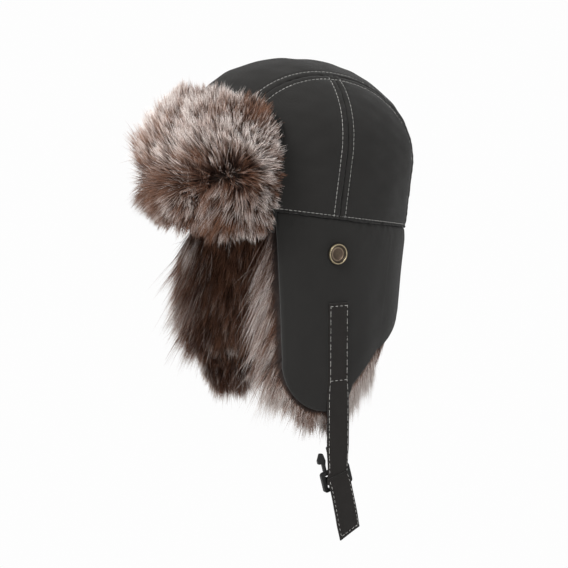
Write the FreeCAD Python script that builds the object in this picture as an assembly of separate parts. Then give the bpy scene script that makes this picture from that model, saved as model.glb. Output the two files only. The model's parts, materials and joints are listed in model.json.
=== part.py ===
import FreeCAD, Part

import math
import os

Vector = FreeCAD.Vector

# A trapper hat: a padded dome crown, a fur visor turned up at the front, two ear flaps, a neck guard in three
# hinged sections, and a chin strap with a side-release buckle. Millimetres and degrees.
#
# The hat is built upright: the head band is an ellipse on the XY plane with its centre at the origin, the front
# faces -Y and the wearer's left is +X. "Depth" is measured inwards from the outer cloth of the crown or skirt.
# The finished hat is then leaned back about X, and the strap and buckle are hung plumb from the left ear flap.

# Head band and crown
BAND_LONG = 105.5
BAND_WIDE = 88.5
LEAN = 8.0
WALL_TOP = 52.5
CROWN_TOP = 132.5
CROWN_FLOOR = -60.0
TOP_PANEL_WIDTH = 102.0
SIDE_SEAM_Y = -5.0
SKIRT_FLOOR = -200.0
SKIRT_FLARE = 9.0

# Layers
CLOTH = 1.2
CROWN_WADDING = 4.0
SKIRT_WADDING = 3.0
PILE = 12.0
LAYER_GAP = 0.1
PANEL_GAP = 0.2
JOINT_GAP = 0.6
CROWN_EDGE = 0.5
SKIRT_EDGE = -1.0

# Seam welt round the head band, and the brow band that the visor folds over
WELT_HEIGHT = 2.0
WELT_DEPTH = 1.0
BROW_LOW = -14.5
BROW_DEPTH = 3.0

# Visor
VISOR_OFFSET = 2.0
VISOR_PILE = 21.5
VISOR_LOW = -16.5
VISOR_TOP = 89.5
VISOR_REAR = -60.0
VISOR_CORNER = 26.0
VISOR_FUR_MARGIN = 4.0
VISOR_FLEX_ANGLE = 30.0
VISOR_FLEX_OPENING = 32.0

# Ear flaps: the outline is drawn on the YZ plane
EAR_FRONT_TOP = (-57.0, SKIRT_EDGE)
EAR_FRONT_LOW = (-38.0, -118.5)
EAR_FRONT_TURN = (-22.0, -149.5)
EAR_TIP = (5.0, -158.5)
EAR_REAR_TURN = (22.0, -152.5)
EAR_REAR_LOW = (31.0, -135.5)
EAR_REAR = 58.0
EAR_REAR_CORNER = (EAR_REAR, -105.5)
EAR_FUR_MARGIN = 9.0
FRINGE_TOP = -20.5

# Neck guard
NECK_MIDDLE_LOW = (89.0, -84.5)
NECK_BACK_LOW = (125.0, -76.5)
NECK_FUR_MARGIN = 7.0
NECK_FLEX_ANGLE = 38.0
NECK_FLEX_OFFSET = 5.5

# Snaps on the ear flaps
SNAP_Y = -3.2
SNAP_Z = -28.0
SNAP_RADIUS = 8.5
SNAP_THICKNESS = 2.4
SNAP_DISH_RADIUS = 5.6
SNAP_DISH_DEPTH = 0.9
SNAP_POST_RADIUS = 2.0
SOCKET_RADIUS = 6.2
SOCKET_THICKNESS = 3.4
SOCKET_BORE_RADIUS = 3.2
SOCKET_BORE_DEPTH = 2.6
SOCKET_CLEARING = 9.0
SOCKET_STANDOFF = 0.7

# Chin strap, hung plumb: heights are of the finished hat
STRAP_WIDTH = 20.0
STRAP_THICKNESS = 1.6
STRAP_Y = -6.0
STRAP_OFFSET = 0.2
STRAP_TOP = -67.5
STRAP_SEWN_LOW = -134.5
STRAP_BEND = -182.5
STRAP_SLANT = 15.0
TAIL_TOP = -4.0
TAIL_SLANT = 13.0
TAIL_LOW = -50.0
TAIL_SLANT_DROP = 5.0

# Side-release buckle: heights are from the centre of its strap bar, towards the prong tips
BAR_Z = -214.5
BAR_RADIUS = 1.5
EYE_GAP = 0.4
BUCKLE_WIDTH = 28.0
BUCKLE_RAIL = 3.8
BUCKLE_THICKNESS = 3.0
BUCKLE_LOW = -9.0
BUCKLE_LOW_BAR = 2.5
BUCKLE_BRIDGE_LOW = 5.2
BUCKLE_BRIDGE_TOP = 8.5
BUCKLE_CORNER = 2.4
BAR_SET_IN = 1.0
GUIDE_WIDTH = 5.0
GUIDE_TOP = 28.0
GUIDE_ROUNDING = 1.4
PRONG_THICKNESS = 2.8
PRONG_INSIDE = 7.6
PRONG_OUTSIDE = 10.4
PRONG_HEAD_LOW = 16.0
PRONG_HEAD_OUTSIDE = 13.8
PRONG_TIP = 25.5
BARB_RISE = 1.0
BARB_HEIGHT = 4.0
TIP_HALF_WIDTH = 1.5
HEEL_SWELL = 1.2
HEEL_HEIGHT = 2.0

# Buckle housing, on a short loop of strap on the right ear flap
LOOP_LOW = -96.5
HOUSING_WIDTH = 28.0
HOUSING_DEPTH = 6.9
HOUSING_BODY_TOP = -6.0
HOUSING_LOW = -36.0
HOUSING_WALL = 1.6
HOUSING_CORNER = 2.4
HOUSING_WINDOW_TOP = -14.0
HOUSING_WINDOW_LOW = -26.0

REACH = 300.0
STRAP_INNER = BAND_WIDE + STRAP_OFFSET
STRAP_OUTER = STRAP_INNER + STRAP_THICKNESS
EYE_INNER_RADIUS = BAR_RADIUS + EYE_GAP
EYE_OUTER_RADIUS = EYE_INNER_RADIUS + STRAP_THICKNESS
BAR_X = STRAP_INNER - EYE_INNER_RADIUS
LOOP_BAR_X = STRAP_OUTER + EYE_INNER_RADIUS


# ---------------------------------------------------------------- basic solids


def block(x, y, z):
    """A box from three (low, high) pairs."""
    return Part.makeBox(x[1] - x[0], y[1] - y[0], z[1] - z[0], Vector(x[0], y[0], z[0]))


def rod(radius, start, end):
    """A cylinder between two points."""
    axis = end - start
    return Part.makeCylinder(radius, axis.Length, start, axis)


def flat_solid(points, thickness):
    """A plate from a closed outline of points, pushed along the given vector."""
    return Part.Face(Part.makePolygon(points + points[:1])).extrude(thickness)


def mirrored(shape):
    """The same shape on the other side of the hat."""
    return shape.mirror(Vector(0, 0, 0), Vector(1, 0, 0))


# ---------------------------------------------------------------- surfaces of the hat


def crown_envelope(depth):
    """The volume inside the crown's outer surface, moved in by depth, with its wall carried down past the band."""
    long = BAND_LONG - depth
    wide = BAND_WIDE - depth
    centre = Vector(0, 0, WALL_TOP)
    shoulder = Vector(long, 0, WALL_TOP)
    apex = Vector(0, 0, CROWN_TOP - depth)
    foot = Vector(long, 0, CROWN_FLOOR)
    axis_foot = Vector(0, 0, CROWN_FLOOR)
    dome = Part.Edge(Part.Ellipse(shoulder, apex, centre), 0, math.pi / 2)
    wall = Part.makeLine(foot, shoulder)
    floor = Part.makeLine(axis_foot, foot)
    axis = Part.makeLine(apex, axis_foot)
    round_crown = Part.Face(Part.Wire([floor, wall, dome, axis])).revolve(Vector(0, 0, 0), Vector(0, 0, 1), 360)
    squeeze = FreeCAD.Matrix()
    squeeze.scale(wide / long, 1, 1)
    return round_crown.transformGeometry(squeeze)


def ellipse_wire(wide, long, z):
    """A level ellipse at a height, from its half-width and half-length."""
    return Part.Wire(Part.Ellipse(Vector(0, long, z), Vector(wide, 0, z), Vector(0, 0, z)).toShape())


def skirt_envelope(depth):
    """The volume inside the hanging skirt, which spreads towards the front and back as it goes down."""
    top = ellipse_wire(BAND_WIDE - depth, BAND_LONG - depth, 0)
    floor = ellipse_wire(BAND_WIDE - depth, BAND_LONG + SKIRT_FLARE - depth, SKIRT_FLOOR)
    return Part.makeLoft([floor, top], True, True)


def layer(envelope, depth, thickness):
    """One sheet of the hat: between a depth and that depth plus a thickness."""
    return envelope(depth).cut(envelope(depth + thickness))


# ---------------------------------------------------------------- crown


def crown_layer(depth, thickness):
    """One sheet of the crown, ending just above the band seam."""
    sheet = layer(crown_envelope, depth, thickness)
    return sheet.common(block((-REACH, REACH), (-REACH, REACH), (CROWN_EDGE, REACH)))


def crown_panels(kind, sheet):
    """A sheet of the crown as it is cut and sewn: a top strip, and a front and a rear panel each side."""
    half_top = TOP_PANEL_WIDTH / 2
    half_gap = PANEL_GAP / 2
    everywhere = (-REACH, REACH)
    side = (half_top + half_gap, REACH)
    left_front = sheet.common(block(side, (-REACH, SIDE_SEAM_Y - half_gap), everywhere))
    left_rear = sheet.common(block(side, (SIDE_SEAM_Y + half_gap, REACH), everywhere))
    return {
        f"crown_top_{kind}": sheet.common(block((-half_top, half_top), everywhere, everywhere)),
        f"crown_left_front_{kind}": left_front,
        f"crown_left_rear_{kind}": left_rear,
        f"crown_right_front_{kind}": mirrored(left_front),
        f"crown_right_rear_{kind}": mirrored(left_rear),
    }


def crown_nodes():
    """Sewn panels over their wadding and one lining, with the welt of the band seam and the brow band below."""
    everywhere = (-REACH, REACH)
    wadding_depth = CLOTH + LAYER_GAP
    lining_depth = wadding_depth + CROWN_WADDING + LAYER_GAP
    welt = layer(crown_envelope, -WELT_DEPTH - LAYER_GAP, WELT_DEPTH)
    brow = layer(crown_envelope, 0, BROW_DEPTH)
    brow_room = block(everywhere, (-REACH, VISOR_REAR), (BROW_LOW, 0))
    nodes = {
        "crown_lining": crown_layer(lining_depth, CLOTH),
        "band_seam_welt": welt.common(block(everywhere, everywhere, (CROWN_EDGE, CROWN_EDGE + WELT_HEIGHT))),
        "brow_band": brow.common(brow_room),
    }
    nodes.update(crown_panels("panel", crown_layer(0, CLOTH)))
    nodes.update(crown_panels("wadding", crown_layer(wadding_depth, CROWN_WADDING)))
    return nodes


# ---------------------------------------------------------------- curved flaps in hinged sections


def turned(direction, angle):
    """A plan direction turned anticlockwise, seen from above."""
    cosine = math.cos(math.radians(angle))
    sine = math.sin(math.radians(angle))
    return Vector(direction.x * cosine - direction.y * sine, direction.x * sine + direction.y * cosine, 0)


def flex_cut(end, angle, offset, opening, towards_wing):
    """Plan points of one face of the cut between a flap's middle and its left wing.

    end is -1 at the front of the hat and 1 at the back. The cut runs square to the band up to the flex hinge, which
    is offset outside the band, and then leaves the opening that the hinge closes.
    """
    wide = BAND_WIDE + offset
    long = BAND_LONG + offset
    sine = math.sin(math.radians(angle))
    cosine = math.cos(math.radians(angle))
    hinge = Vector(wide * sine, end * long * cosine, 0)
    normal = Vector(sine / wide, end * cosine / long, 0).normalize()
    towards = -end if towards_wing else end
    along = turned(normal, 90 * towards)
    hinge = hinge + along * (PANEL_GAP / 2)
    inside = hinge - normal * (BAND_LONG / 2)
    outside = hinge + turned(normal, towards * opening / 2) * REACH
    return [inside, hinge, outside]


def middle_room(end, angle, offset, opening):
    """The space of a flap's middle section, between its two flex cuts."""
    left = flex_cut(end, angle, offset, opening, False)
    right = [Vector(-point.x, point.y, 0) for point in reversed(left)]
    return upright(left + right)


def wing_room(end, angle, offset, opening):
    """The space of a flap's left wing, from its flex cut round to the side of the hat."""
    cut = flex_cut(end, angle, offset, opening, True)
    far = REACH * 2
    side = [Vector(far, cut[2].y, 0), Vector(far, 0, 0), Vector(cut[0].x, 0, 0)]
    return upright(cut + side)


def upright(plan):
    """A tall prism over a plan outline."""
    base = [Vector(point.x, point.y, -REACH) for point in plan]
    return flat_solid(base, Vector(0, 0, 2 * REACH))


def side_outline(edges):
    """A prism across the hat, from edges drawn on the YZ plane."""
    face = Part.Face(Part.Wire(edges))
    face.translate(Vector(-REACH, 0, 0))
    return face.extrude(Vector(2 * REACH, 0, 0))


def line(start, end):
    """A straight edge on the YZ plane."""
    return Part.makeLine(Vector(0, *start), Vector(0, *end))


def arc(start, middle, end):
    """An arc on the YZ plane through three points."""
    return Part.Arc(Vector(0, *start), Vector(0, *middle), Vector(0, *end)).toShape()


def visor_outline(margin):
    """Side view of the visor, with its upper rear corner rounded."""
    low = VISOR_LOW - margin
    top = VISOR_TOP + margin
    start = (VISOR_REAR, low)
    corner_low = (VISOR_REAR, top - VISOR_CORNER)
    corner_top = (VISOR_REAR - VISOR_CORNER, top)
    slack = VISOR_CORNER * (1 - math.sqrt(0.5))
    corner_middle = (VISOR_REAR - slack, top - slack)
    front_top = (-REACH, top)
    front_low = (-REACH, low)
    return side_outline([
        line(start, corner_low),
        arc(corner_low, corner_middle, corner_top),
        line(corner_top, front_top),
        line(front_top, front_low),
        line(front_low, start),
    ])


def visor_nodes():
    """Cloth, wadding and fur of the turned-up visor, each in a middle and two wings."""
    cloth_depth = -VISOR_OFFSET - CLOTH
    wadding_depth = cloth_depth - LAYER_GAP - SKIRT_WADDING
    fur_depth = wadding_depth - LAYER_GAP - VISOR_PILE
    sheets = {
        "cloth": layer(crown_envelope, cloth_depth, CLOTH).common(visor_outline(0)),
        "wadding": layer(crown_envelope, wadding_depth, SKIRT_WADDING).common(visor_outline(0)),
        "fur": layer(crown_envelope, fur_depth, VISOR_PILE).common(visor_outline(VISOR_FUR_MARGIN)),
    }
    flex = (-1, VISOR_FLEX_ANGLE, -wadding_depth, VISOR_FLEX_OPENING)
    return sections("visor", sheets, middle_room(*flex), wing_room(*flex))


def sections(flap, sheets, middle, wing):
    """The nodes of a flap's sheets, cut into middle, left wing and right wing."""
    nodes = {}
    for name, sheet in sheets.items():
        left = sheet.common(wing)
        nodes[f"{flap}_middle_{name}"] = sheet.common(middle)
        nodes[f"{flap}_left_wing_{name}"] = left
        nodes[f"{flap}_right_wing_{name}"] = mirrored(left)
    return nodes


def neck_outline(margin):
    """Side view of the neck guard, whose lower edge climbs from the ear flaps to the nape."""
    front = EAR_REAR + JOINT_GAP
    top_front = (front, SKIRT_EDGE)
    low_front = (front, EAR_REAR_CORNER[1] - margin)
    low_middle = (NECK_MIDDLE_LOW[0], NECK_MIDDLE_LOW[1] - margin)
    low_back = (NECK_BACK_LOW[0], NECK_BACK_LOW[1] - margin)
    top_back = (NECK_BACK_LOW[0], SKIRT_EDGE)
    return side_outline([
        line(top_front, low_front),
        line(low_front, low_middle),
        line(low_middle, low_back),
        line(low_back, top_back),
        line(top_back, top_front),
    ])


def neck_nodes():
    """Cloth, wadding and fur of the neck guard, each in a middle and two wings."""
    wadding_depth = CLOTH + LAYER_GAP
    fur_depth = wadding_depth + SKIRT_WADDING + LAYER_GAP
    sheets = {
        "cloth": layer(skirt_envelope, 0, CLOTH).common(neck_outline(0)),
        "wadding": layer(skirt_envelope, wadding_depth, SKIRT_WADDING).common(neck_outline(0)),
        "fur": layer(skirt_envelope, fur_depth, PILE).common(neck_outline(NECK_FUR_MARGIN)),
    }
    flex = (1, NECK_FLEX_ANGLE, NECK_FLEX_OFFSET, 0)
    return sections("neck", sheets, middle_room(*flex), wing_room(*flex))


# ---------------------------------------------------------------- ear flaps


def ear_edges():
    """Side view of an ear flap: a straight front, a rounded tip and a slanting rear edge."""
    rear_top = (EAR_REAR, SKIRT_EDGE)
    return [
        line(EAR_FRONT_TOP, EAR_FRONT_LOW),
        arc(EAR_FRONT_LOW, EAR_FRONT_TURN, EAR_TIP),
        arc(EAR_TIP, EAR_REAR_TURN, EAR_REAR_LOW),
        line(EAR_REAR_LOW, EAR_REAR_CORNER),
        line(EAR_REAR_CORNER, rear_top),
        line(rear_top, EAR_FRONT_TOP),
    ]


def ear_fur_outline():
    """The ear flap's outline grown by the fringe, which starts below the visor so that the flap can fold up."""
    grown = Part.Wire(ear_edges()).makeOffset2D(EAR_FUR_MARGIN)
    below_band = block((-REACH, REACH), (-REACH, EAR_REAR), (SKIRT_FLOOR, SKIRT_EDGE))
    visor_side = block((-REACH, REACH), (-REACH, EAR_FRONT_TOP[0]), (FRINGE_TOP, REACH))
    return side_outline(grown.Edges).common(below_band).cut(visor_side)


def snap_rod(radius, depth_low, depth_high):
    """A disc or hole on the snap's axis, between two depths into the flap."""
    start = Vector(BAND_WIDE - depth_low, SNAP_Y, SNAP_Z)
    end = Vector(BAND_WIDE - depth_high, SNAP_Y, SNAP_Z)
    return rod(radius, start, end)


def snap_nodes():
    """A dished cap with its post outside, and a socket clenched on the post inside."""
    skin = LAYER_GAP
    socket_depth = CLOTH + SKIRT_WADDING + SOCKET_STANDOFF
    socket_mouth = socket_depth + SOCKET_THICKNESS
    cap = rounded_cap(snap_rod(SNAP_RADIUS, -skin - SNAP_THICKNESS, -skin))
    dish = snap_rod(SNAP_DISH_RADIUS, -skin - SNAP_THICKNESS, -skin - SNAP_THICKNESS + SNAP_DISH_DEPTH)
    post = snap_rod(SNAP_POST_RADIUS, -skin, socket_depth - LAYER_GAP)
    socket = snap_rod(SOCKET_RADIUS, socket_depth, socket_mouth)
    bore = snap_rod(SOCKET_BORE_RADIUS, socket_mouth - SOCKET_BORE_DEPTH, socket_mouth)
    return {"snap_cap": cap.cut(dish).fuse(post), "snap_socket": socket.cut(bore)}


def rounded_cap(cap):
    """The cap with its outer rim rounded over."""
    rims = [edge for edge in cap.Edges if edge.BoundBox.XMin > BAND_WIDE + SNAP_THICKNESS]
    return cap.makeFillet(SNAP_THICKNESS / 2, rims)


def left_ear_nodes():
    """The left ear flap's cloth, wadding and fur, with the snap fixed through them."""
    wadding_depth = CLOTH + LAYER_GAP
    fur_depth = wadding_depth + SKIRT_WADDING + LAYER_GAP
    left_half = block((0, REACH), (-REACH, REACH), (-REACH, REACH))
    outline = side_outline(ear_edges()).common(left_half)
    post_hole = snap_rod(SNAP_POST_RADIUS + LAYER_GAP, -SNAP_THICKNESS, PILE)
    clearing = snap_rod(SOCKET_CLEARING, -SNAP_THICKNESS, 2 * PILE)
    nodes = {
        "cloth": layer(skirt_envelope, 0, CLOTH).common(outline).cut(post_hole),
        "wadding": layer(skirt_envelope, wadding_depth, SKIRT_WADDING).common(outline).cut(post_hole),
        "fur": layer(skirt_envelope, fur_depth, PILE).common(ear_fur_outline()).common(left_half).cut(clearing),
    }
    nodes.update(snap_nodes())
    return nodes


def ear_nodes():
    """Both ear flaps, the right one a mirror image of the left."""
    nodes = {}
    for name, shape in left_ear_nodes().items():
        nodes[f"left_ear_{name}"] = shape
        nodes[f"right_ear_{name}"] = mirrored(shape)
    return nodes


# ---------------------------------------------------------------- chin strap


def strap_strip(z_low, z_high):
    """A plumb length of strap, lying just outside the left ear flap."""
    half = STRAP_WIDTH / 2
    return block((STRAP_INNER, STRAP_OUTER), (STRAP_Y - half, STRAP_Y + half), (z_low, z_high))


def bar_vector(x, along, up):
    """A point from its place in the strap bar's own directions, before the buckle is slanted."""
    return Vector(BAR_X + x, STRAP_Y + along, BAR_Z + up)


def slanted(shape, angle=STRAP_SLANT):
    """Turn a piece about the strap bar's centre, as the loosely hung buckle and strap end have turned."""
    return shape.rotate(bar_vector(0, 0, 0), Vector(1, 0, 0), angle)


def eye(outer_radius, inner_radius):
    """The loop of strap round a bar that runs front to back."""
    start = bar_vector(0, -STRAP_WIDTH / 2, 0)
    end = bar_vector(0, STRAP_WIDTH / 2, 0)
    return rod(outer_radius, start, end).cut(rod(inner_radius, start, end))


def strap_lower():
    """The last length of the strap: rounded at the bend, slanted and looped round the buckle's bar."""
    half = STRAP_WIDTH / 2
    bend_x = (STRAP_INNER + STRAP_OUTER) / 2
    bend_start = Vector(bend_x, STRAP_Y - half, STRAP_BEND)
    bend_end = Vector(bend_x, STRAP_Y + half, STRAP_BEND)
    strip = strap_strip(BAR_Z - half, STRAP_BEND)
    below_bar = slanted(block((0, REACH), (-REACH, REACH), (SKIRT_FLOOR - REACH, BAR_Z)))
    loop = slanted(eye(EYE_OUTER_RADIUS, EYE_INNER_RADIUS))
    return strip.cut(below_bar).fuse(rod(STRAP_THICKNESS / 2, bend_start, bend_end)).fuse(loop).removeSplitter()


def strap_tail():
    """The free end beyond the buckle, cut at an angle."""
    half = STRAP_WIDTH / 2
    x = EYE_OUTER_RADIUS + 3 * LAYER_GAP
    corners = [
        bar_vector(x, -half, TAIL_TOP),
        bar_vector(x, half, TAIL_TOP),
        bar_vector(x, half, TAIL_LOW + TAIL_SLANT_DROP),
        bar_vector(x, -half, TAIL_LOW),
    ]
    return slanted(flat_solid(corners, Vector(STRAP_THICKNESS, 0, 0)), TAIL_SLANT)


def strap_nodes():
    """The strap in the lengths that its hinges join."""
    bend_room = STRAP_THICKNESS / 2 + LAYER_GAP * 3
    return {
        "left_ear_strap_sewn": strap_strip(STRAP_SEWN_LOW + PANEL_GAP, STRAP_TOP),
        "strap_upper": strap_strip(STRAP_BEND + bend_room, STRAP_SEWN_LOW - PANEL_GAP),
        "strap_lower": strap_lower(),
        "strap_tail": strap_tail(),
    }


# ---------------------------------------------------------------- buckle


def buckle_block(x_half, along, up):
    """A box in the buckle's own directions, centred on its thickness."""
    low = bar_vector(-x_half, along[0], up[0])
    high = bar_vector(x_half, along[1], up[1])
    return block((low.x, high.x), (low.y, high.y), (low.z, high.z))


def buckle_frame():
    """Two side rails, the strap bar, a lower bar, the bridge that carries the prongs, and the centre guide."""
    x_half = BUCKLE_THICKNESS / 2
    half = BUCKLE_WIDTH / 2
    outline = buckle_block(x_half, (-half, half), (BUCKLE_LOW, BUCKLE_BRIDGE_TOP))
    inside = half - BUCKLE_RAIL
    window = buckle_block(x_half, (-inside, inside), (BUCKLE_LOW + BUCKLE_LOW_BAR, BUCKLE_BRIDGE_LOW))
    corners = [edge for edge in outline.Edges if edge.BoundBox.XLength > x_half]
    bar_end = inside + BAR_SET_IN
    bar = rod(BAR_RADIUS, bar_vector(0, -bar_end, 0), bar_vector(0, bar_end, 0))
    guide_half = GUIDE_WIDTH / 2
    guide = buckle_block(PRONG_THICKNESS / 2, (-guide_half, guide_half), (BUCKLE_BRIDGE_LOW, GUIDE_TOP))
    ends = [edge for edge in guide.Edges if edge.BoundBox.XLength > x_half and edge.BoundBox.ZMin > BAR_Z + PRONG_TIP]
    rounded_guide = guide.makeFillet(GUIDE_ROUNDING, ends)
    return slanted(outline.makeFillet(BUCKLE_CORNER, corners).cut(window).fuse(bar).fuse(rounded_guide))


def prong(side):
    """One flexing arm with its barbed head, on the front (-1) or rear (1) of the buckle."""
    head_middle = (PRONG_INSIDE + PRONG_OUTSIDE) / 2
    foot = BUCKLE_BRIDGE_TOP + 2 * LAYER_GAP
    outline = [
        (PRONG_INSIDE, foot),
        (PRONG_OUTSIDE, foot),
        (PRONG_OUTSIDE, PRONG_HEAD_LOW),
        (PRONG_HEAD_OUTSIDE, PRONG_HEAD_LOW + BARB_RISE),
        (PRONG_HEAD_OUTSIDE, PRONG_HEAD_LOW + BARB_HEIGHT),
        (head_middle + TIP_HALF_WIDTH, PRONG_TIP),
        (head_middle - TIP_HALF_WIDTH, PRONG_TIP - BARB_RISE),
        (PRONG_INSIDE - HEEL_SWELL, PRONG_HEAD_LOW + HEEL_HEIGHT),
        (PRONG_INSIDE, PRONG_HEAD_LOW - HEEL_HEIGHT),
    ]
    x = -PRONG_THICKNESS / 2
    points = [bar_vector(x, side * along, up) for along, up in outline]
    return slanted(flat_solid(points, Vector(PRONG_THICKNESS, 0, 0)))


def housing_block(x_half, y_half, z_low, z_high):
    """A box of the left-hand copy of the housing, centred on its bar."""
    x = (LOOP_BAR_X - x_half, LOOP_BAR_X + x_half)
    y = (STRAP_Y - y_half, STRAP_Y + y_half)
    return block(x, y, (LOOP_LOW + z_low, LOOP_LOW + z_high))


def housing():
    """The buckle's hollow half: a mouth below, a window in each side for the barbs, and a bar above."""
    x_half = HOUSING_DEPTH / 2
    y_half = HOUSING_WIDTH / 2
    body = housing_block(x_half, y_half, HOUSING_LOW, HOUSING_BODY_TOP)
    corners = [edge for edge in body.Edges if edge.BoundBox.ZLength > HOUSING_DEPTH]
    body = body.makeFillet(HOUSING_CORNER, corners)
    inside = housing_block(
        x_half - HOUSING_WALL, y_half - HOUSING_WALL, HOUSING_LOW - HOUSING_WALL, HOUSING_BODY_TOP - HOUSING_WALL
    )
    window_room = y_half + HOUSING_WALL
    windows = housing_block(x_half - HOUSING_WALL, window_room, HOUSING_WINDOW_LOW, HOUSING_WINDOW_TOP)
    lugs = housing_block(BAR_RADIUS, y_half, HOUSING_BODY_TOP, BAR_RADIUS)
    gap = housing_block(BAR_RADIUS, y_half - BUCKLE_RAIL, HOUSING_BODY_TOP, BAR_RADIUS)
    bar = rod(
        BAR_RADIUS,
        Vector(LOOP_BAR_X, STRAP_Y - y_half, LOOP_LOW),
        Vector(LOOP_BAR_X, STRAP_Y + y_half, LOOP_LOW),
    )
    return body.cut(inside).cut(windows).fuse(lugs.cut(gap)).fuse(bar).removeSplitter()


def loop_strap():
    """The short sewn strap that carries the housing, with its eye round the housing's bar."""
    eye_at_loop = eye(EYE_OUTER_RADIUS, EYE_INNER_RADIUS)
    eye_at_loop.translate(Vector(LOOP_BAR_X - BAR_X, 0, LOOP_LOW - BAR_Z))
    return strap_strip(LOOP_LOW, STRAP_TOP).fuse(eye_at_loop).removeSplitter()


def buckle_nodes():
    """The pronged half on the strap, and the housing with its loop on the right ear flap."""
    return {
        "buckle_frame": buckle_frame(),
        "buckle_front_prong": prong(-1),
        "buckle_rear_prong": prong(1),
        "buckle_housing": mirrored(housing()),
        "right_ear_strap_loop": mirrored(loop_strap()),
    }


# ---------------------------------------------------------------- assembly


def leaning(nodes):
    """Lean the upright hat back, so that its brow is high and its nape low."""
    for shape in nodes.values():
        shape.rotate(Vector(0, 0, 0), Vector(1, 0, 0), -LEAN)
    return nodes


def build():
    nodes = leaning({**crown_nodes(), **visor_nodes(), **ear_nodes(), **neck_nodes()})
    nodes.update(strap_nodes())
    nodes.update(buckle_nodes())
    return nodes


os.makedirs("parts", exist_ok=True)
for node, shape in build().items():
    print(node, "valid" if shape.isValid() else "NOT VALID", len(shape.Solids), round(shape.Volume))
    shape.exportStep(f"parts/{node}.step")
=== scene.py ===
import json
import math

import bpy
import numpy as np
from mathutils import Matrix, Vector
from mathutils.bvhtree import BVHTree


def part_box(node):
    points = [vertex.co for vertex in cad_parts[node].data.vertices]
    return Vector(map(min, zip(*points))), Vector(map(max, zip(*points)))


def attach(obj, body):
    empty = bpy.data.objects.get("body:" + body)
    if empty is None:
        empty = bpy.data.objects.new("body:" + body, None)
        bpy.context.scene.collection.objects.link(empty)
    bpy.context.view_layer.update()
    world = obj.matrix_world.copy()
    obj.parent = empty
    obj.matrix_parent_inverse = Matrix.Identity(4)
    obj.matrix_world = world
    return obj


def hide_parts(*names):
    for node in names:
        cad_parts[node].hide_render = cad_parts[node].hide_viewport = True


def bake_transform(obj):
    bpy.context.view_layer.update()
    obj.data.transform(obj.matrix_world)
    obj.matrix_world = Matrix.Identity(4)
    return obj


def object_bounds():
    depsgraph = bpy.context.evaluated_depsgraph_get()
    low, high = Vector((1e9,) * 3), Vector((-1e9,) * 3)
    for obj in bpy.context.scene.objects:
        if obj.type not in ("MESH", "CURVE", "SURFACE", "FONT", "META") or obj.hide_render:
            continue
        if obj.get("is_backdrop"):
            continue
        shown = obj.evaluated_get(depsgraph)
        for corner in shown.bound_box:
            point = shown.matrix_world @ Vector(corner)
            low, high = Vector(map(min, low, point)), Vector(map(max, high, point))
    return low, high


# A trapper hat: brushed charcoal cloth, frosted brown faux fur, pale topstitching, brass snaps, black buckle.
# Shapes are worked out in millimetres on an upright hat, front at -Y and wearer's left at +X, and leaned at
# the end.

MM = 0.001
MAP = "OFBake"
SIDES = (("left", 1), ("right", -1))
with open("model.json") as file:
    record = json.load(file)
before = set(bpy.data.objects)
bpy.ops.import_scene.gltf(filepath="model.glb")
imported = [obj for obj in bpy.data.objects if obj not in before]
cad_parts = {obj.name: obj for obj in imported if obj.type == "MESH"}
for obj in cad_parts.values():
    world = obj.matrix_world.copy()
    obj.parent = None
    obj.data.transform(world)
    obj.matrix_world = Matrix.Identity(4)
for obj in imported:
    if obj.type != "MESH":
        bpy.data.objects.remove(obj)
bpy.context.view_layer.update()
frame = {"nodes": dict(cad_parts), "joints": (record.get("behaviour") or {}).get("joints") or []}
JOINTS = {joint["name"]: joint for joint in frame["joints"]}


def joint_place(name):
    """A joint's place in millimetres."""
    return np.array(JOINTS[name]["pos_m"]) / MM


def node_box(name):
    """A CAD node's two box corners in millimetres."""
    low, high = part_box(name)
    return np.array(low) / MM, np.array(high) / MM


# ---------------------------------------------------------------- driving sizes, from the frame

EAR_AXIS = JOINTS["left_ear_fold"]["axis"]
LEAN = math.atan2(EAR_AXIS[2], -EAR_AXIS[1])
COSINE = math.cos(LEAN)
SINE = math.sin(LEAN)


def leaned(points):
    """Upright hat to finished hat."""
    points = np.asarray(points, float)
    x, y, z = points[..., 0], points[..., 1], points[..., 2]
    return np.stack([x, y * COSINE + z * SINE, z * COSINE - y * SINE], -1)


def upright(points):
    """Finished hat to upright hat."""
    points = np.asarray(points, float)
    x, y, z = points[..., 0], points[..., 1], points[..., 2]
    return np.stack([x, y * COSINE - z * SINE, z * COSINE + y * SINE], -1)


HINGE_STANDOFF = 1.5
WIDE = joint_place("left_ear_fold")[0] - HINGE_STANDOFF
LONG = upright(joint_place("neck_fold"))[1] - HINGE_STANDOFF
WALL = 52.5
APEX = node_box("crown_top_panel")[1][2]
RISE = math.sqrt((APEX - WALL * COSINE) ** 2 - (LONG * SINE) ** 2) / COSINE
HALF_TOP = node_box("crown_top_panel")[1][0]
SIDE_SEAM = -5.0
FLARE = 9.0 / 200.0
CLOTH = 1.2
SEAM_GAP = 0.25
STRAP_OUT = node_box("strap_upper")[1][0]
STRAP_IN = node_box("strap_upper")[0][0]
STRAP_MID = (STRAP_OUT + STRAP_IN) / 2
STRAP_THICK = STRAP_OUT - STRAP_IN
STRAP_WIDTH = node_box("strap_upper")[1][1] - node_box("strap_upper")[0][1]
STRAP_Y = joint_place("chin_strap_lift")[1]
STRAP_TOP = node_box("left_ear_strap_sewn")[1][2]
STRAP_SEWN_LOW = joint_place("chin_strap_lift")[2]
STRAP_BEND = joint_place("chin_strap_bend")[2]
BAR = joint_place("buckle_tilt")
BAR_AXIS = -np.array(JOINTS["buckle_tilt"]["axis"])

VISOR_LOW = -16.5
VISOR_TOP = 89.5
VISOR_REAR = -60.0
VISOR_CORNER = 26.0
VISOR_CLOTH = 3.2
VISOR_SKIN = 6.4

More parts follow.
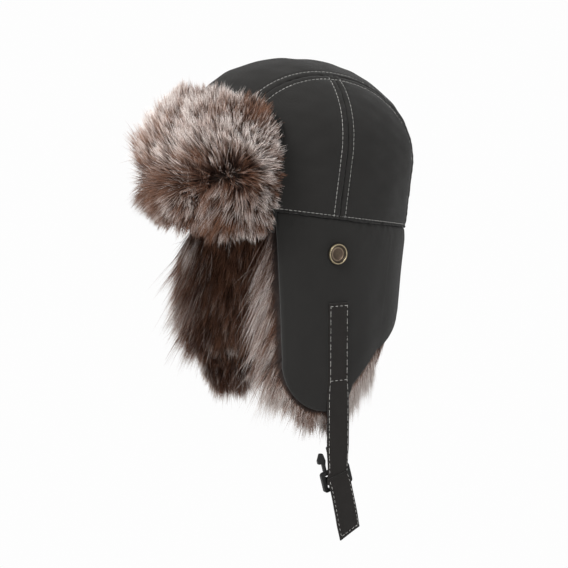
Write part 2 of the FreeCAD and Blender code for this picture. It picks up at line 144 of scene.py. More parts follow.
EAR_REAR = 58.0
EAR_TIP = (5.0, -158.5)
EAR_FRONT = [(-57.0, -0.2), (-38.0, -118.5)]
EAR_FRONT_ARC = [EAR_FRONT[1], (-22.0, -149.5), EAR_TIP]
EAR_REAR_EDGE = [(EAR_REAR, -0.2), (EAR_REAR, -105.5), (31.0, -135.5)]
EAR_REAR_ARC = [EAR_REAR_EDGE[2], (22.0, -152.5), EAR_TIP]
NECK_EDGE = [(58.3, -105.5), (89.0, -84.5), (125.0, -76.5)]
SKIRT_SKIN = 4.4

SNAP_Z = -28.0
SNAP_Y = -3.2

# Stitch rows of the crown, from the seams they follow, and the width of a seam's crease.
TOP_ROW = 5.8
SIDE_ROW = 5.3
BAND_ROW = 2.8
CREASE = 0.75

# Places round the band are arc lengths on a circle of this mean radius.
ROUND = (WIDE + LONG) / 2
NECK_TURN = math.acos(NECK_EDGE[0][0] / LONG)
NECK_LAP = 0.35
VISOR_TURN = math.acos(-VISOR_REAR / (LONG + VISOR_CLOTH)) - 0.004
FLEX_SPREAD = 14

STITCH_INSET = 1.6
TAIL_SLANT = math.radians(13)
TAIL_LENGTH = 50.0
TAIL_END_TURN = math.radians(14)

STRANDS_PER_PIECE = 12000
VISOR_STRANDS = 19000
EAR_INNER_STRANDS = 11500
EAR_FRINGE_STRANDS = 13500
NECK_STRANDS = 8000
FUR_SHARE = 1.0

GLOW = 0.985
AZIMUTH = math.radians(60)
ELEVATION = math.radians(7)
DISTANCE = 1.228
RISE_IN_VIEW = 0.0614
RIGHT_IN_VIEW = 0.0052


# ---------------------------------------------------------------- small helpers


def smooth(value):
    """Soft step from 0 to 1."""
    value = np.clip(value, 0, 1)
    return value * value * (3 - 2 * value)


def unit(vectors):
    """Vectors at length one."""
    return vectors / np.maximum(np.linalg.norm(vectors, axis=-1, keepdims=True), 1e-9)


def soft_noise(points, size, seed, waves=12):
    """Smooth random bumps of about the given size, between roughly -2 and 2."""
    rng = np.random.default_rng(seed)
    directions = unit(rng.normal(size=(waves, points.shape[-1])))
    directions *= 2 * math.pi / size * rng.uniform(0.5, 1.6, (waves, 1))
    phases = rng.uniform(0, 2 * math.pi, waves)
    return np.sin(points @ directions.T + phases).sum(-1) * math.sqrt(2 / waves)


def even_points(points, count):
    """A polyline resampled at equal steps."""
    steps = np.linalg.norm(np.diff(points, axis=0), axis=1)
    along = np.append(0, np.cumsum(steps))
    wanted = np.linspace(0, along[-1], count)
    return np.stack([np.interp(wanted, along, points[:, axis]) for axis in range(points.shape[1])], 1)


def circle_arc(start, middle, end, count=24):
    """Points on the arc through three points of a plane."""
    (ax, ay), (bx, by), (cx, cy) = start, middle, end
    d = 2 * (ax * (by - cy) + bx * (cy - ay) + cx * (ay - by))
    a2, b2, c2 = ax * ax + ay * ay, bx * bx + by * by, cx * cx + cy * cy
    centre_x = (a2 * (by - cy) + b2 * (cy - ay) + c2 * (ay - by)) / d
    centre_y = (a2 * (cx - bx) + b2 * (ax - cx) + c2 * (bx - ax)) / d
    angles = np.unwrap([math.atan2(y - centre_y, x - centre_x) for x, y in (start, middle, end)])
    radius = math.hypot(ax - centre_x, ay - centre_y)
    turn = np.linspace(angles[0], angles[2], count)
    return np.stack([centre_x + radius * np.cos(turn), centre_y + radius * np.sin(turn)], 1)


def edge_distance(points, edge):
    """Distance from plane points to a polyline."""
    flat = points.reshape(-1, 2)
    best = np.full(len(flat), np.inf)
    for start, end in zip(edge[:-1], edge[1:]):
        along = end - start
        share = np.clip((flat - start) @ along / (along @ along), 0, 1)
        best = np.minimum(best, np.linalg.norm(flat - start - share[:, None] * along, axis=1))
    return best.reshape(points.shape[:-1])


# ---------------------------------------------------------------- meshes


def new_mesh(name, points, faces, material, uv=None):
    """A smooth mesh from finished-hat points in millimetres; uv is per point."""
    mesh = bpy.data.meshes.new(name)
    mesh.vertices.add(len(points))
    mesh.vertices.foreach_set("co", (points * MM).astype(np.float32).ravel())
    corners = np.concatenate([group.ravel() for group in faces]).astype(np.int32)
    totals = np.concatenate([np.full(len(group), group.shape[1]) for group in faces]).astype(np.int32)
    starts = np.append(0, np.cumsum(totals)[:-1]).astype(np.int32)
    mesh.loops.add(len(corners))
    mesh.loops.foreach_set("vertex_index", corners)
    mesh.polygons.add(len(totals))
    mesh.polygons.foreach_set("loop_start", starts)
    mesh.polygons.foreach_set("loop_total", totals)
    if uv is not None:
        layer = mesh.uv_layers.new(name=MAP)
        layer.data.foreach_set("uv", uv[corners].astype(np.float32).ravel())
    mesh.update(calc_edges=True)
    mesh.shade_smooth()
    mesh.materials.append(material)
    piece = bpy.data.objects.new(name, mesh)
    bpy.context.scene.collection.objects.link(piece)
    return piece


def grid_quads(rows, columns, start=0):
    """Quads between the points of a grid."""
    index = np.arange(rows * columns).reshape(rows, columns) + start
    return np.stack([index[:-1, :-1], index[1:, :-1], index[1:, 1:], index[:-1, 1:]], -1).reshape(-1, 4)


def border(rows, columns):
    """Indices of a grid's border in order."""
    index = np.arange(rows * columns).reshape(rows, columns)
    return np.concatenate([index[0, :-1], index[:-1, -1], index[-1, :0:-1], index[:0:-1, 0]])


def outward_side(points, quads):
    """The same quads, turned so that the closed mesh has its normals outwards."""
    a, b, c, d = (points[quads[:, corner]] for corner in range(4))
    volume = (np.cross(b - a, c - a) * a).sum() + (np.cross(c - a, d - a) * a).sum()
    return quads if volume > 0 else quads[:, ::-1]


def capped(points, walls, lids):
    """Walls and lids of a closed skin, turned together so that they face outwards."""
    turned = outward_side(points, walls)
    return [turned, lids if turned is walls else lids[:, ::-1]]


def dress(piece, replaced=(), body=None, blend=None):
    """Hide the parts that a piece stands for, bake a blended piece in place, and attach a piece to the body that
    it follows.
    """
    if replaced:
        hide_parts(*replaced)
    if blend:
        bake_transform(piece)
    if body:
        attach(piece, body)


def sheet(name, outer, normals, depth, material, rim=0.4):
    """A closed sheet of cloth: outer grid, inner grid at the given depth, and a rounded rim between."""
    rows, columns = outer.shape[:2]
    depth = np.broadcast_to(depth, (rows, columns))
    inner = outer - normals * depth[..., None]
    outwards = np.zeros_like(outer)
    outwards[0] += unit(outer[0] - outer[1])
    outwards[-1] += unit(outer[-1] - outer[-2])
    outwards[:, 0] += unit(outer[:, 0] - outer[:, 1])
    outwards[:, -1] += unit(outer[:, -1] - outer[:, -2])
    ring = border(rows, columns)
    middle = ((outer + inner) / 2 + unit(outwards) * rim).reshape(-1, 3)[ring]
    count = rows * columns
    points = np.concatenate([outer.reshape(-1, 3), inner.reshape(-1, 3), middle])
    top = grid_quads(rows, columns)
    bottom = grid_quads(rows, columns, count)[:, ::-1]
    rim_index = np.arange(len(ring)) + 2 * count
    following = np.roll(np.arange(len(ring)), -1)
    upper = np.stack([ring, ring[following], rim_index[following], rim_index], 1)
    lower = np.stack([rim_index, rim_index[following], ring[following] + count, ring + count], 1)
    quads = np.concatenate([top, bottom, upper, lower])
    piece = new_mesh(name, leaned(points), [outward_side(points, quads)], material)
    piece.data.set_sharp_from_angle(angle=math.radians(48))
    return piece


def tube_pieces(name, starts, ends, lifts, sides, radius, material):
    """Short closed threads: one capsule-like stitch from each start to each end."""
    shares = np.array([0.0, 0.12, 0.5, 0.88, 1.0])
    widths = np.array([0.35, 0.9, 1.0, 0.9, 0.35]) * radius
    rises = np.array([-0.5, 0.35, 0.6, 0.35, -0.5]) * radius
    count = len(starts)
    along = ends - starts
    centres = starts[:, None] + along[:, None] * shares[None, :, None]
    centres = centres + lifts[:, None] * rises[None, :, None]
    turn = np.arange(6) * math.pi / 3
    ring = sides[:, None, None] * np.cos(turn)[None, None, :, None]
    ring = ring + lifts[:, None, None] * np.sin(turn)[None, None, :, None]
    points = centres[:, :, None] + ring * widths[None, :, None, None]
    base = np.arange(5 * 6).reshape(5, 6)
    shifted = np.roll(base, -1, axis=1)
    walls = np.stack([base[:-1], shifted[:-1], shifted[1:], base[1:]], -1).reshape(-1, 4)
    caps = np.array([base[0][::-1], base[-1]])
    offsets = (np.arange(count) * 30)[:, None, None]
    quads = (walls[None] + offsets).reshape(-1, 4)
    hexagons = (caps[None] + offsets).reshape(-1, 6)
    shade = np.repeat(np.random.default_rng(5).uniform(0.05, 0.95, count), 30)
    place = np.tile(np.repeat(shares, 6), count)
    side = np.tile(np.tile(np.cos(turn) * 0.01, 5), count)
    uv = np.stack([shade + side, place * 0.9 + 0.05], 1)
    return new_mesh(name, points.reshape(-1, 3), [quads, hexagons], material, uv)


# ---------------------------------------------------------------- materials


class Shader:
    """A Principled material built from small node helpers; textures use the hat's own coordinates."""

    def __init__(self, name):
        self.material = bpy.data.materials.new(name)
        self.material.use_nodes = True
        self.nodes = self.material.node_tree.nodes
        self.links = self.material.node_tree.links
        self.surface = self.nodes["Principled BSDF"]
        self.place = self.nodes.new("ShaderNodeTexCoord").outputs["Object"]

    def set(self, **values):
        """Fixed surface values, with spaces in their names as underscores."""
        for name, value in values.items():
            self.surface.inputs[name.replace("_", " ")].default_value = value

    def join(self, output, input_name):
        """Drive a surface input."""
        self.links.new(output, self.surface.inputs[input_name])

    def map_axes(self):
        """Both axes of the piece's own map."""
        place = self.nodes.new("ShaderNodeUVMap")
        place.uv_map = MAP
        split = self.nodes.new("ShaderNodeSeparateXYZ")
        self.links.new(place.outputs["UV"], split.inputs["Vector"])
        return split.outputs["X"], split.outputs["Y"]

    def stretched(self, scale, turn=(0, 0, 0)):
        """The hat's coordinates, scaled and turned."""
        node = self.nodes.new("ShaderNodeMapping")
        node.inputs["Scale"].default_value = scale
        node.inputs["Rotation"].default_value = turn
        self.links.new(self.place, node.inputs["Vector"])
        return node.outputs["Vector"]

    def noise(self, scale, detail=3.0, roughness=0.5, vector=None):
        """Cloudy noise from 0 to 1."""
        node = self.nodes.new("ShaderNodeTexNoise")
        node.inputs["Scale"].default_value = scale
        node.inputs["Detail"].default_value = detail
        node.inputs["Roughness"].default_value = roughness
        self.links.new(vector or self.place, node.inputs["Vector"])
        return node.outputs["Fac"]

    def wave(self, scale, distortion=0.0, vector=None):
        """Parallel bands from 0 to 1."""
        node = self.nodes.new("ShaderNodeTexWave")
        node.inputs["Scale"].default_value = scale
        node.inputs["Distortion"].default_value = distortion
        self.links.new(vector or self.place, node.inputs["Vector"])
        return node.outputs["Fac"]

    def ramp(self, factor, *stops):
        """Colour through stops of (place, colour)."""
        node = self.nodes.new("ShaderNodeValToRGB")
        elements = node.color_ramp.elements
        while len(elements) < len(stops):
            elements.new(0.5)
        for element, (place, colour) in zip(elements, stops):
            element.position = place
            element.color = (*colour, 1)
        self.links.new(factor, node.inputs["Fac"])
        return node.outputs["Color"]

    def mix(self, factor, first, second):
        """Mix of two colours, each a node output or a plain colour."""
        node = self.nodes.new("ShaderNodeMix")
        node.data_type = "RGBA"
        for value, index in ((factor, 0), (first, 6), (second, 7)):
            if isinstance(value, (int, float)):
                node.inputs[index].default_value = value
            elif isinstance(value, tuple):
                node.inputs[index].default_value = (*value, 1)
            else:
                self.links.new(value, node.inputs[index])
        return node.outputs[2]

    def maths(self, operation, first, second=0.0):
        """Arithmetic on two node outputs or numbers."""
        node = self.nodes.new("ShaderNodeMath")
        node.operation = operation
        for index, value in enumerate((first, second)):
            if isinstance(value, (int, float)):
                node.inputs[index].default_value = value
            else:
                self.links.new(value, node.inputs[index])
        return node.outputs[0]

    def bump(self, height, strength, distance):
        """Fine relief from a height."""
        node = self.nodes.new("ShaderNodeBump")
        node.inputs["Strength"].default_value = strength
        node.inputs["Distance"].default_value = distance
        self.links.new(height, node.inputs["Height"])
        self.join(node.outputs["Normal"], "Normal")


def brushed_cloth(name, dark, light):
    """Matte brushed cloth: fine mottled nap with a faint twill under it."""
    shader = Shader(name)
    nap = shader.noise(2600, 4, 0.7)
    patches = shader.noise(55, 3, 0.6)
    colour = shader.ramp(nap, (0.3, dark), (0.75, light))
    worn = shader.mix(patches, colour, tuple(channel * 1.25 for channel in light))
    shader.join(shader.mix(0.35, colour, worn), "Base Color")
    shader.join(shader.ramp(nap, (0, (0.82,) * 3), (1, (0.98,) * 3)), "Roughness")
    twill = shader.wave(900, 1.5, shader.stretched((1, 1, 1), (0.6, 0.5, 0.7)))
    shader.bump(shader.maths("ADD", nap, shader.maths("MULTIPLY", twill, 0.4)), 0.5, 0.0004)
    shader.set(Sheen_Weight=0.06, Sheen_Roughness=0.5, Specular_IOR_Level=0.2)
    return shader.material


def thread_material():
    """Twisted thread; across the map is each stitch's own shade."""
    shader = Shader("pale_thread")
    shade, _ = shader.map_axes()
    shader.join(shader.ramp(shade, (0, (0.26, 0.26, 0.245)), (1, (0.46, 0.45, 0.425))), "Base Color")
    twist = shader.wave(2400, 1.0, shader.stretched((1, 1, 1), (0.4, 0.8, 0.2)))
    shader.bump(twist, 0.6, 0.0002)
    shader.set(Roughness=0.75, Sheen_Weight=0.2)
    return shader.material


def fur_material():
    """Strand colour from its own map: across is how frosted the strand is, up is root to tip."""
    shader = Shader("frosted_fur")
    frost, along = shader.map_axes()
    brown = shader.ramp(
        along,
        (0.0, (0.012, 0.006, 0.004)),
        (0.40, (0.030, 0.014, 0.009)),
        (0.75, (0.095, 0.038, 0.019)),
        (1.0, (0.230, 0.105, 0.055)),
    )
    frosted = shader.ramp(
        along,
        (0.0, (0.010, 0.005, 0.004)),
        (0.45, (0.030, 0.014, 0.009)),
        (0.66, (0.170, 0.105, 0.078)),
        (0.82, (0.510, 0.440, 0.405)),
        (1.0, (0.800, 0.755, 0.725)),
    )
    share = shader.ramp(frost, (0.25, (0,) * 3), (0.75, (1,) * 3))
    shader.join(shader.mix(share, brown, frosted), "Base Color")
    shader.set(Roughness=0.55, Specular_IOR_Level=0.35)
    return shader.material


def undercoat_material():
    """Dark matted fur under the strands."""
    shader = Shader("fur_undercoat")
    tufts = shader.noise(420, 4, 0.7)
    colour = shader.ramp(tufts, (0.3, (0.012, 0.007, 0.005)), (0.7, (0.060, 0.032, 0.022)))
    shader.join(colour, "Base Color")
    shader.bump(tufts, 1.0, 0.002)
    shader.set(Roughness=0.95)
    return shader.material


def quilted_lining():
    """Dark satin."""
    shader = Shader("satin_lining")
    weave = shader.noise(1500, 2, 0.5)
    colour = shader.ramp(weave, (0.3, (0.010, 0.010, 0.011)), (0.7, (0.022, 0.022, 0.024)))
    shader.join(colour, "Base Color")
    shader.join(shader.ramp(weave, (0, (0.40,) * 3), (1, (0.55,) * 3)), "Roughness")
    shader.bump(weave, 0.25, 0.0002)
    return shader.material


def fleece():
    """Grey fibre wadding."""
    shader = Shader("fleece_wadding")
    fibres = shader.noise(700, 5, 0.8)
    shader.join(shader.ramp(fibres, (0.3, (0.10, 0.095, 0.09)), (0.7, (0.22, 0.21, 0.20))), "Base Color")
    shader.bump(fibres, 0.8, 0.001)
    shader.set(Roughness=0.95)
    return shader.material


def aged_brass():
    """Brass worn bright on its rim and dark in its hollows; the map runs up from centre to back edge."""
    shader = Shader("antique_brass")
    _, across = shader.map_axes()
    tone = shader.ramp(
        across,
        (0.0, (0.070, 0.054, 0.036)),
        (0.24, (0.055, 0.038, 0.028)),
        (0.285, (0.170, 0.130, 0.090)),
        (0.33, (0.040, 0.030, 0.022)),
        (0.42, (0.045, 0.036, 0.026)),
        (0.465, (0.330, 0.275, 0.180)),
        (0.55, (0.230, 0.190, 0.120)),
        (0.64, (0.090, 0.070, 0.048)),
    )
    stain = shader.noise(650, 5, 0.7)
    stained = shader.ramp(stain, (0.48, (0,) * 3), (0.62, (0.75,) * 3))
    dulled = shader.mix(stained, tone, (0.045, 0.030, 0.022))
    shader.join(shader.mix(0.55, tone, dulled), "Base Color")
    shader.join(shader.ramp(stain, (0.3, (0.28,) * 3), (0.7, (0.5,) * 3)), "Roughness")
    shader.bump(stain, 0.25, 0.0003)
    shader.set(Metallic=0.85)
    return shader.material


def black_plastic():
    """Fine-grained moulded plastic, a little scuffed."""
    shader = Shader("buckle_plastic")
    grain = shader.noise(1800, 3, 0.6)
    scuffs = shader.noise(120, 5, 0.7, shader.stretched((1, 3, 1)))
    base = shader.ramp(grain, (0.3, (0.0020,) * 3), (0.7, (0.0045,) * 3))
    rubbed = shader.ramp(scuffs, (0.55, (0,) * 3), (0.75, (0.5,) * 3))
    shader.join(shader.mix(rubbed, base, (0.010, 0.010, 0.010)), "Base Color")
    shader.join(shader.ramp(scuffs, (0.3, (0.42,) * 3), (0.8, (0.60,) * 3)), "Roughness")
    shader.bump(grain, 0.15, 0.0002)
    shader.set(Specular_IOR_Level=0.22)
    return shader.material


CHARCOAL = brushed_cloth("outer_cloth", (0.0040, 0.0037, 0.0034), (0.0128, 0.0120, 0.0110))
STRAP_CLOTH = brushed_cloth("strap_cloth", (0.0036, 0.0030, 0.0027), (0.0110, 0.0092, 0.0080))
THREAD = thread_material()
FUR = fur_material()
UNDERCOAT = undercoat_material()
LINING = quilted_lining()
FLEECE = fleece()
BRASS = aged_brass()
PLASTIC = black_plastic()


# ---------------------------------------------------------------- crown


def shrink_at(height, offset=0.0):
    """How much a level section of the crown has drawn in at a height."""
    rise = (height - WALL) / (RISE + offset)
    return np.sqrt(np.clip(1 - np.clip(rise, 0, 1) ** 2, 0, 1))


def crown_normals(points, offset=0.0):
    """Outward directions of the crown surface, or of one offset from it."""
    across = points / np.array([WIDE + offset, LONG + offset, RISE + offset]) ** 2
    across[..., 2] = np.maximum(points[..., 2] - WALL, 0) / (RISE + offset) ** 2
    return unit(across)


def felled(distance, row):
    """Relief of a felled seam: a crease, a raised strip each side, and a dip under each stitch row."""
    crease = -0.5 * np.exp(-(distance / CREASE) ** 2)
    strip = 0.45 * smooth(1 - (distance - row + 1.2) / 1.6) * smooth(distance / 1.5)
    dip = -0.55 * np.exp(-((distance - row) / 1.1) ** 2)
    return crease + strip + dip


def crown_relief(points, normals, side_panel):
    """How far the padded crown cloth stands off the plain crown surface."""
    to_top = np.abs(np.abs(points[..., 0]) - HALF_TOP) / np.sqrt(1 - normals[..., 0] ** 2 + 0.01)
    to_band = points[..., 2]
    nearest = np.minimum(to_top, to_band)
    relief = felled(to_top, TOP_ROW)
    if side_panel:
        to_side = np.abs(points[..., 1] - SIDE_SEAM) / np.sqrt(1 - normals[..., 1] ** 2 + 0.01)
        nearest = np.minimum(nearest, to_side)
        relief = relief + felled(to_side, SIDE_ROW)
    relief = relief - 0.4 * np.exp(-((to_band - BAND_ROW) / 0.9) ** 2)
    relief = relief - 1.9 * np.exp(-(to_band / 1.3) ** 2)
    pillow = 1.4 * (1 - np.exp(-nearest / 16))
    pucker = soft_noise(points, 7, 3) * 0.22 * np.exp(-nearest / 6)
    creases = soft_noise(points, 46, 7) * 0.32 + soft_noise(points * [1, 1, 2.2], 30, 8) * 0.2
    return relief + pillow + pucker + creases * smooth(nearest / 20)


def side_section(y, rows):
    """Points down one cross section of a side panel, from the top seam to the band."""
    narrowing = math.sqrt(max(0.0, 1 - (y / LONG) ** 2))
    half = WIDE * narrowing
    first = math.asin(min(1.0, (HALF_TOP + SEAM_GAP / 2) / half))
    angle = np.linspace(first, math.pi / 2, 60)
    x = np.append(half * np.sin(angle), half)
    z = np.append(WALL + RISE * narrowing * np.cos(angle), 0.4)
    return even_points(np.stack([x, np.full_like(x, y), z], 1), rows)


def top_section(x, rows):
    """Points over the head along one section of the top strip, from the front band to the back band."""
    narrowing = math.sqrt(1 - (x / WIDE) ** 2)
    angle = np.linspace(0, math.pi, 160)
    y = -LONG * narrowing * np.cos(angle)
    z = WALL + RISE * narrowing * np.sin(angle)
    y = np.concatenate([[y[0]], y, [y[-1]]])
    z = np.concatenate([[0.4], z, [0.4]])
    return even_points(np.stack([np.full_like(y, x), y, z], 1), rows)


def crown_panel(name, points, side_panel):
    """One panel of crown cloth over a grid of points."""
    normals = crown_normals(points)
    outer = points + normals * crown_relief(points, normals, side_panel)[..., None]
    piece = sheet(name + "_cloth", outer, normals, CLOTH, CHARCOAL, 0.1)
    dress(piece, [name], body="crown")
    return piece


def crown_cloth():
    """The top strip and the four side panels."""
    step = 1.3
    edge = HALF_TOP - SEAM_GAP / 2
    columns = int(2 * edge / step)
    top = np.stack([top_section(x, 260) for x in np.linspace(-edge, edge, columns)], 1)
    panels = [crown_panel("crown_top_panel", top, False)]
    reach = LONG * math.sqrt(1 - (HALF_TOP / WIDE) ** 2) - 0.05
    for side, direction in SIDES:
        for end, sign in (("front", -1), ("rear", 1)):
            places = np.linspace(SIDE_SEAM + sign * SEAM_GAP / 2, sign * reach, 72)
            points = np.stack([side_section(y, 100) for y in places], 1) * [direction, 1, 1]
            panels.append(crown_panel(f"crown_{side}_{end}_panel", points, True))
    return panels


def surface_of(pieces):
    """One lookup tree over several finished pieces, in millimetres."""
    points = []
    polygons = []
    for piece in pieces:
        start = len(points)
        points.extend(vertex.co / MM for vertex in piece.data.vertices)
        polygons.extend([start + index for index in polygon.vertices] for polygon in piece.data.polygons)
    return BVHTree.FromPolygons(points, polygons)


def stitch_row(path, tree, stitch=2.9, gap=0.8):
    """(start, end, lift, side) of each stitch along a path of finished-hat points, laid on the cloth."""
    length = np.linalg.norm(np.diff(path, axis=0), axis=1).sum()
    count = max(1, int((length + gap) / (stitch + gap)))
    ends = even_points(path, 2 * 40 * count + 1)
    step = len(ends) / count
    first = [ends[int(index * step)] for index in range(count)]
    last = [ends[int(index * step + step * stitch / (stitch + gap))] for index in range(count)]
    rows = []
    for start, end in zip(first, last):
        a, normal, _, _ = tree.find_nearest(Vector(start))
        b, _, _, _ = tree.find_nearest(Vector(end))
        along = (b - a).normalized()
        lift = (normal - along * normal.dot(along)).normalized()
        rows.append((a, b, lift, along.cross(lift)))
    return rows


def thread_piece(name, rows, radius, body=None, blend=None):
    """One piece of thread for rows of (start, end, lift, side)."""
    starts, ends, lifts, sides = (np.array([row[index] for row in rows], float) for index in range(4))
    piece = tube_pieces(name, starts, ends, lifts, sides, radius, THREAD)
    dress(piece, body=body, blend=blend)


def crown_stitching(panels):
    """Twin rows along every seam of the crown, and one row above the band."""
    tree = surface_of(panels)
    paths = []
    for side in (-1, 1):
        for shift in (-TOP_ROW, TOP_ROW):
            seam = top_section(side * HALF_TOP, 200)
            normals = crown_normals(seam)
            across = unit(np.cross(normals, np.gradient(seam, axis=0)))
            across *= np.sign(across[:, :1] + 1e-9)
            row = seam + across * shift * side
            paths.append(leaned(row[(row[:, 2] > 1.5)]))
        for shift in (-SIDE_ROW, SIDE_ROW):
            seam = side_section(SIDE_SEAM + shift, 120) * [side, 1, 1]
            paths.append(leaned(seam[3:]))
    turn = np.linspace(0, 2 * math.pi, 400)
    band = np.stack([WIDE * np.sin(turn), -LONG * np.cos(turn), np.full_like(turn, BAND_ROW)], 1)
    paths.append(leaned(band))
    rows = [row for path in paths for row in stitch_row(path, tree)]
    thread_piece("crown_topstitching", rows, 0.20, body="crown")


def inside_layer(name, depth, thickness, material, replaced, quilt=False):
    """A padded layer inside the crown: a bowl with an open foot."""
    turn = np.linspace(0, 2 * math.pi, 150)
    angle = np.linspace(0, 1, 70)
    wall = np.linspace(0.6, WALL, 18)[:-1]
    heights = np.concatenate([wall, WALL + (RISE - depth) * np.sin(angle * 1.53)])
    shrink = shrink_at(heights, -depth)
    x = (WIDE - depth) * shrink[:, None] * np.sin(turn)
    y = -(LONG - depth) * shrink[:, None] * np.cos(turn)
    points = np.stack([x, y, np.broadcast_to(heights[:, None], x.shape)], -1)
    normals = crown_normals(points, -depth)
    if quilt:
        cells = np.sin(turn * 9)[None] * np.sin(heights / 9.0)[:, None]
        points = points - normals * (1.2 * np.abs(cells))[..., None]
    dress(bowl(name, points, normals, thickness, material), replaced, body="crown")


def bowl(name, points, normals, thickness, material):
    """A closed bowl from a grid whose columns go right round and whose last row is nearly a point."""
    points = points[:, :-1]
    normals = normals[:, :-1]
    rows, columns = points.shape[:2]
    inner = points - normals * thickness
    count = rows * columns
    everything = np.concatenate([points.reshape(-1, 3), inner.reshape(-1, 3)])
    index = np.arange(count).reshape(rows, columns)
    following = np.roll(index, -1, axis=1)
    walls = np.stack([index[:-1], index[1:], following[1:], following[:-1]], -1).reshape(-1, 4)
    foot = np.stack([index[0], following[0], following[0] + count, index[0] + count], -1)
    quads = outward_side(everything, np.concatenate([walls, walls[:, ::-1] + count, foot]))
    lids = np.array([index[-1], index[-1][::-1] + count])
    return new_mesh(name, leaned(everything), [quads, lids], material)


def crown_inside():
    """One wadding layer over all five wadding nodes, and the quilted lining under it."""
    wadding = [name for name in frame["nodes"] if name.startswith("crown_") and name.endswith("wadding")]
    inside_layer("crown_fleece", CLOTH + 0.3, 3.4, FLEECE, wadding)
    inside_layer("crown_quilted_lining", CLOTH + 4.2, 0.9, LINING, ["crown_lining"], True)


def band_welt():
    """The puckered roll of cloth in the band seam."""
    around = 900
    turn = np.linspace(0, 2 * math.pi, around, endpoint=False)
    section = np.linspace(0, 2 * math.pi, 10, endpoint=False)
    centre = np.stack([WIDE * np.sin(turn), -LONG * np.cos(turn), np.zeros(around)], 1)
    outwards = unit(centre / np.array([WIDE, LONG, 1]) ** 2)
    pucker = soft_noise(centre, 6.5, 21)
    size = 0.85 + 0.20 * pucker + 0.10 * soft_noise(centre, 30, 22)
    height = 1.0 + 0.20 * soft_noise(centre, 14, 23)
    ring = outwards[:, None] * np.cos(section)[None, :, None] * (size * 1.1)[:, None, None]
    ring = ring + np.array([0, 0, 1]) * np.sin(section)[None, :, None] * size[:, None, None]
    up = np.array([0, 0, 1]) * height[:, None, None]
    points = centre[:, None] + ring + up - outwards[:, None] * 0.5
    index = np.arange(around * 10).reshape(around, 10)
    after = np.roll(index, -1, axis=0)
    quads = np.stack([index, np.roll(index, -1, 1), np.roll(after, -1, 1), after], -1).reshape(-1, 4)
    flat = points.reshape(-1, 3)
    piece = new_mesh("band_welt", leaned(flat), [outward_side(flat, quads)], CHARCOAL)
    dress(piece, ["band_seam_welt"], body="crown")


# ---------------------------------------------------------------- surfaces of the flaps


def visor_points(place, offset):
    """Visor surface; place is (distance round the band from the front, height)."""
    turn = place[..., 0] / ROUND
    height = place[..., 1]
    shrink = shrink_at(height, offset)
    x = (WIDE + offset) * shrink * np.sin(turn)
    y = -(LONG + offset) * shrink * np.cos(turn)
    points = np.stack([x, y, height], -1)
    return points, crown_normals(points, offset)


def skirt_points(place, depth, side):
    """Hanging skirt at one side of the hat; place is (y, height)."""
    y = place[..., 0]
    height = place[..., 1]
    long = LONG - depth + FLARE * -height
    wide = WIDE - depth
    x = wide * np.sqrt(np.clip(1 - (y / long) ** 2, 0.001, 1))
    normals = unit(np.stack([x / wide ** 2, y / long ** 2, FLARE * y ** 2 / long ** 3], -1))
    return np.stack([x * side, y, height], -1), normals * [side, 1, 1]


def neck_points(place, depth):
    """Hanging skirt round the back; place is (distance round the band from the back, height)."""
    turn = place[..., 0] / ROUND
    height = place[..., 1]
    long = LONG - depth + FLARE * -height
    wide = WIDE - depth
    x = wide * np.sin(turn)
    y = long * np.cos(turn)
    normals = unit(np.stack([x / wide ** 2, y / long ** 2, FLARE * y ** 2 / long ** 3], -1))
    return np.stack([x, y, height], -1), normals


# ---------------------------------------------------------------- ear flaps and neck guard: cloth


def ear_outline():
    """The ear flap's front and rear edges, each from the band to the tip, as (y, height)."""
    front = np.concatenate([even_points(np.array(EAR_FRONT), 30), circle_arc(*EAR_FRONT_ARC)[1:]])
    rear = np.concatenate([even_points(np.array(EAR_REAR_EDGE), 30), circle_arc(*EAR_REAR_ARC)[1:]])
    return front, rear


EAR_FRONT_LINE, EAR_REAR_LINE = ear_outline()
EAR_REAR_FREE = EAR_REAR_LINE[EAR_REAR_LINE[:, 1] < EAR_REAR_EDGE[1][1] + 2]
EAR_FREE_EDGE = np.concatenate([EAR_FRONT_LINE, EAR_REAR_FREE[::-1]])
NECK_LINE = np.array(NECK_EDGE)


def ear_grid(rows, columns, inset=0.0):
    """Plane points (y, height) filling the ear flap's outline."""
    share = np.linspace(0, 1, rows)
    low = EAR_FRONT_LINE[-1][1] + inset + 0.4
    heights = -0.2 + (low + 0.2) * (1 - (1 - share) ** 1.35)
    front = np.interp(-heights, -EAR_FRONT_LINE[:, 1], EAR_FRONT_LINE[:, 0]) + inset
    rear = np.interp(-heights, -EAR_REAR_LINE[:, 1], EAR_REAR_LINE[:, 0]) - inset
    across = np.linspace(0, 1, columns)
    y = front[:, None] * (1 - across) + rear[:, None] * across
    return np.stack([y, np.broadcast_to(heights[:, None], y.shape)], -1)


def neck_low(turn):
    """Height of the neck guard's lower edge at an angle from the back."""
    return np.interp(LONG * np.cos(turn), NECK_LINE[:, 0], NECK_LINE[:, 1])


def neck_turn(height):
    """Angle from the back where the guard meets the ear flap; the skirt flares, so it grows downwards."""
    return np.arccos((NECK_EDGE[0][0] - NECK_LAP) / (LONG - FLARE * height))


